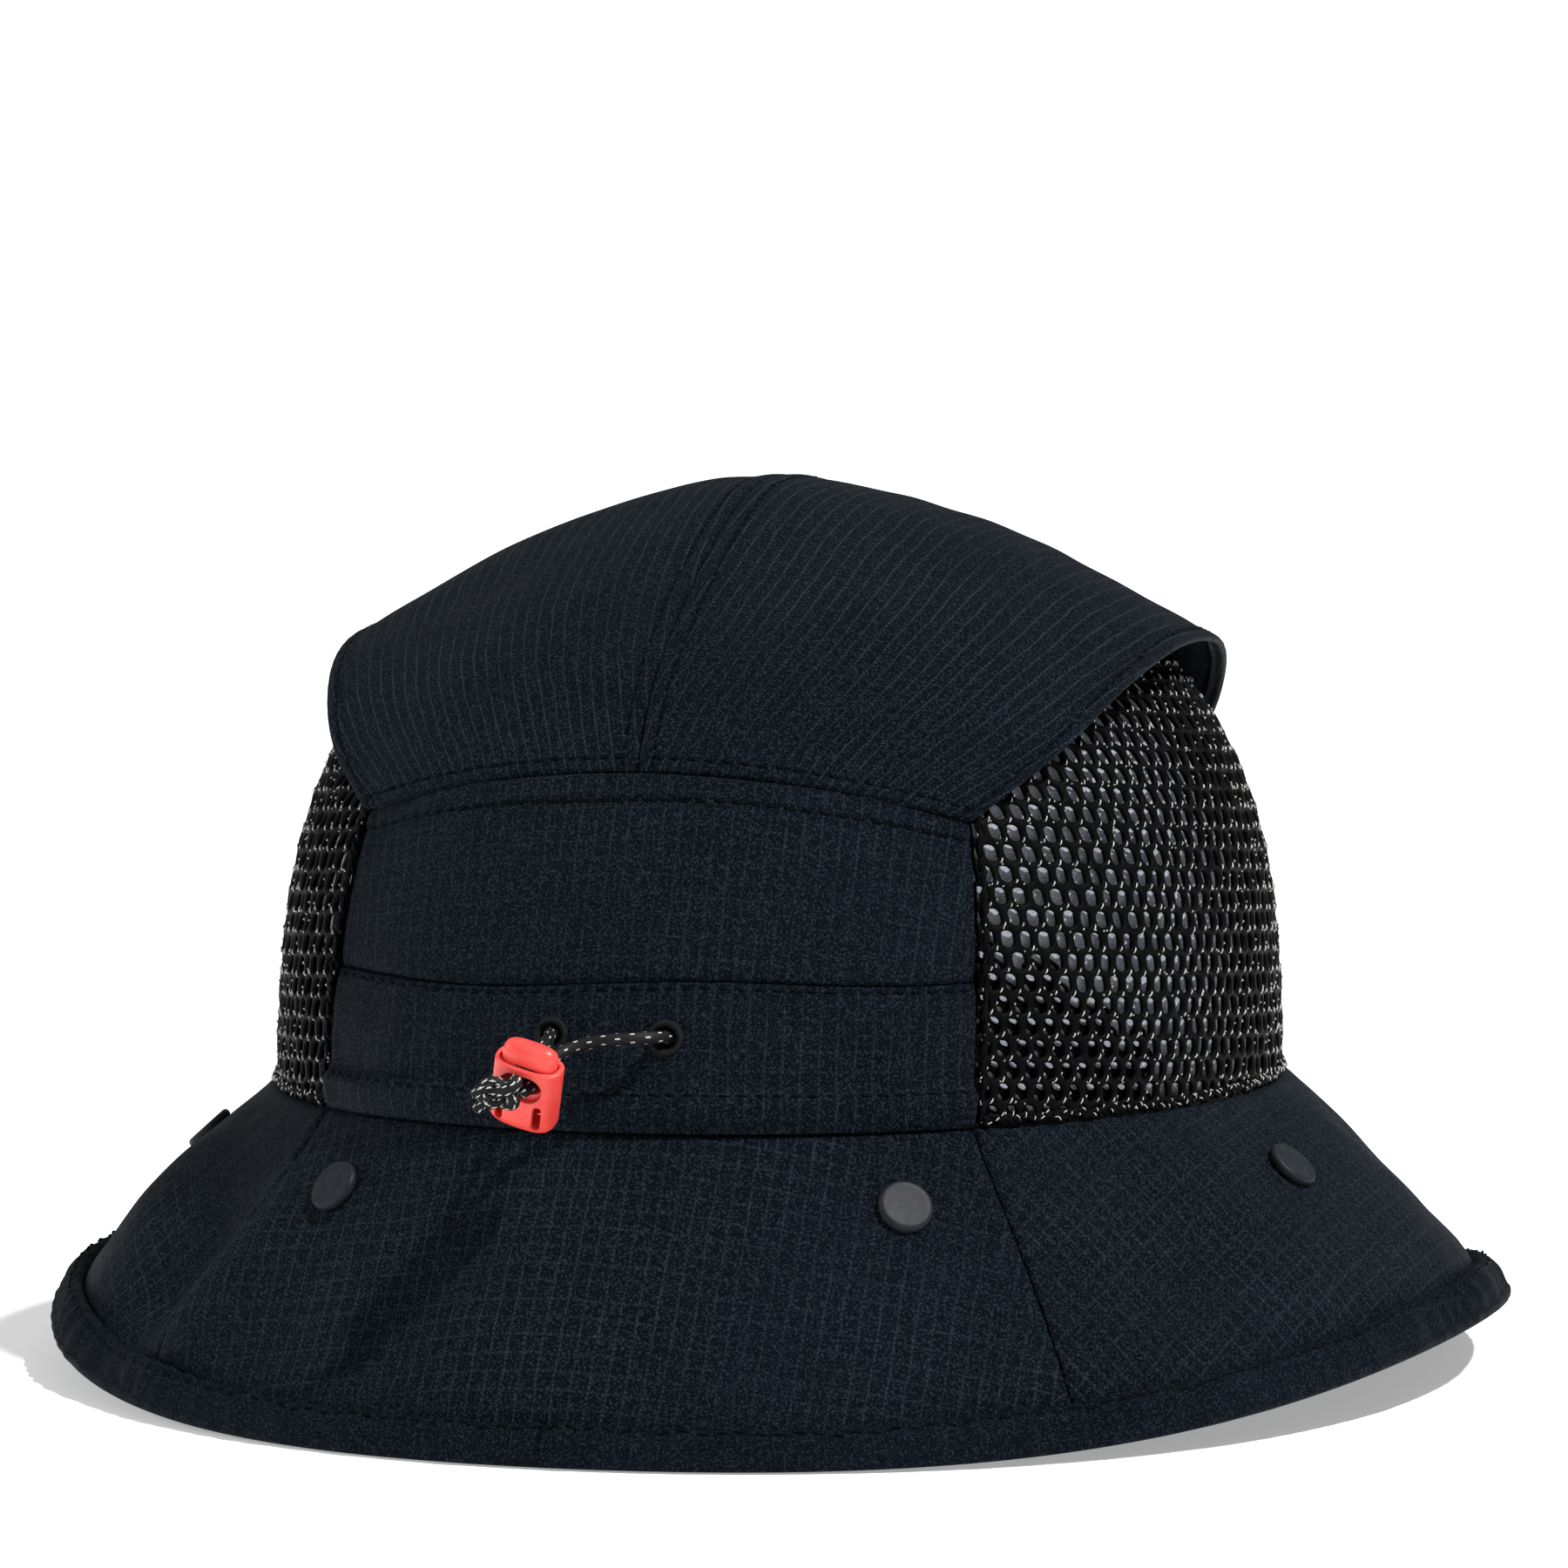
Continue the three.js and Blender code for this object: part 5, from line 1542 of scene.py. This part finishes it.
def addLock():
    s = lock
    housing = lockBlock("lock_housing_moulded", s["halfWidth"], s["halfDepth"],
                        rounding(s["base"], s["top"], 2.1, 0.35))
    bore = lockBlock("tool", s["halfWidth"] - s["wall"], s["halfDepth"] - s["wall"],
                     [(s["floor"], 0.3), (s["floor"] + 0.3, 0), (s["top"] + 2, 0)])
    cutWith(housing, bore)
    cutWith(housing, slotTool(s["holeHalfWidth"], s["holeLow"], s["holeHigh"]))
    for side in (-1, 1):
        for face in (-1, 1):
            cutWith(housing, uprightSlot(side * s["slotAt"], face * s["halfDepth"] * 0.93))
    softenEdges(housing, 0.16)
    inset = s["wall"] + s["clearance"]
    button = lockBlock("lock_button_moulded", s["halfWidth"] - inset, s["halfDepth"] - inset,
                       rounding(s["plungerBase"], s["domeTop"], 0.15, 1.9, 10))
    cutWith(button, slotTool(s["holeHalfWidth"], s["pinchEdge"], s["pinchTop"] + s["travel"]))
    softenEdges(button, 0.12)
    for piece in (housing, button):
        piece.data.transform(lockPlace)
    dress(housing, coralPlastic, "cord_lock", ["lock_housing"])
    dress(button, coralPlastic, "lock_button", ["lock_button"])


addLock()
# the spring keeps the frame's own shape and only gets its finish
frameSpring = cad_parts["lock_spring"]
frameSpring.data.materials.clear()
frameSpring.data.materials.append(springWire)
print("cord lock made")


studio = {
    "floor": 60.0, "shown": 1.0, "around": 0.27, "sun": 3.9, "sunFrom": (-0.60, 0.10, 1.0), "sunAngle": 2.5,
    "fill": 12.0, "fillPlace": (1.7, 0.9, 0.8), "fillSize": 0.7,
}


def addLamp(name, kind, place, power, size, aim=(0, 0, 0.07)):
    data = bpy.data.lights.new(name, kind)
    data.energy = power
    if kind == "SUN":
        data.angle = math.radians(size)
    else:
        data.size = size
    lamp = bpy.data.objects.new(name, data)
    lamp.location = place
    lamp.rotation_euler = (Vector(aim) - Vector(place)).to_track_quat("-Z", "Y").to_euler()
    bpy.context.scene.collection.objects.link(lamp)


def addStudio():
    s = studio
    mesh = bpy.data.meshes.new("floor")
    half = s["floor"] / 2
    corners = [(-half, -half, 0), (half, -half, 0), (half, half, 0), (-half, half, 0)]
    mesh.from_pydata(corners, [], [(0, 1, 2, 3)])
    floor = bpy.data.objects.new("floor", mesh)
    floor.data.materials.append(floorFinish())
    bpy.context.scene.collection.objects.link(floor)
    world = bpy.data.worlds.new("studio")
    world.use_nodes = True
    nodes, links = world.node_tree.nodes, world.node_tree.links
    path = nodes.new("ShaderNodeLightPath")
    level = nodes.new("ShaderNodeMapRange")   # the pale wall is lit brighter than the light it gives
    level.inputs["To Min"].default_value = s["around"]
    level.inputs["To Max"].default_value = s["shown"]
    links.new(path.outputs["Is Camera Ray"], level.inputs["Value"])
    links.new(level.outputs[0], nodes["Background"].inputs["Strength"])
    nodes["Background"].inputs["Color"].default_value = (1, 1, 1, 1)
    bpy.context.scene.world = world
    addLamp("key", "SUN", s["sunFrom"], s["sun"], s["sunAngle"], (0, 0, 0))
    addLamp("fill", "AREA", s["fillPlace"], s["fill"], s["fillSize"])
    bpy.context.scene.view_settings.view_transform = "Standard"


addStudio()
print("studio made")
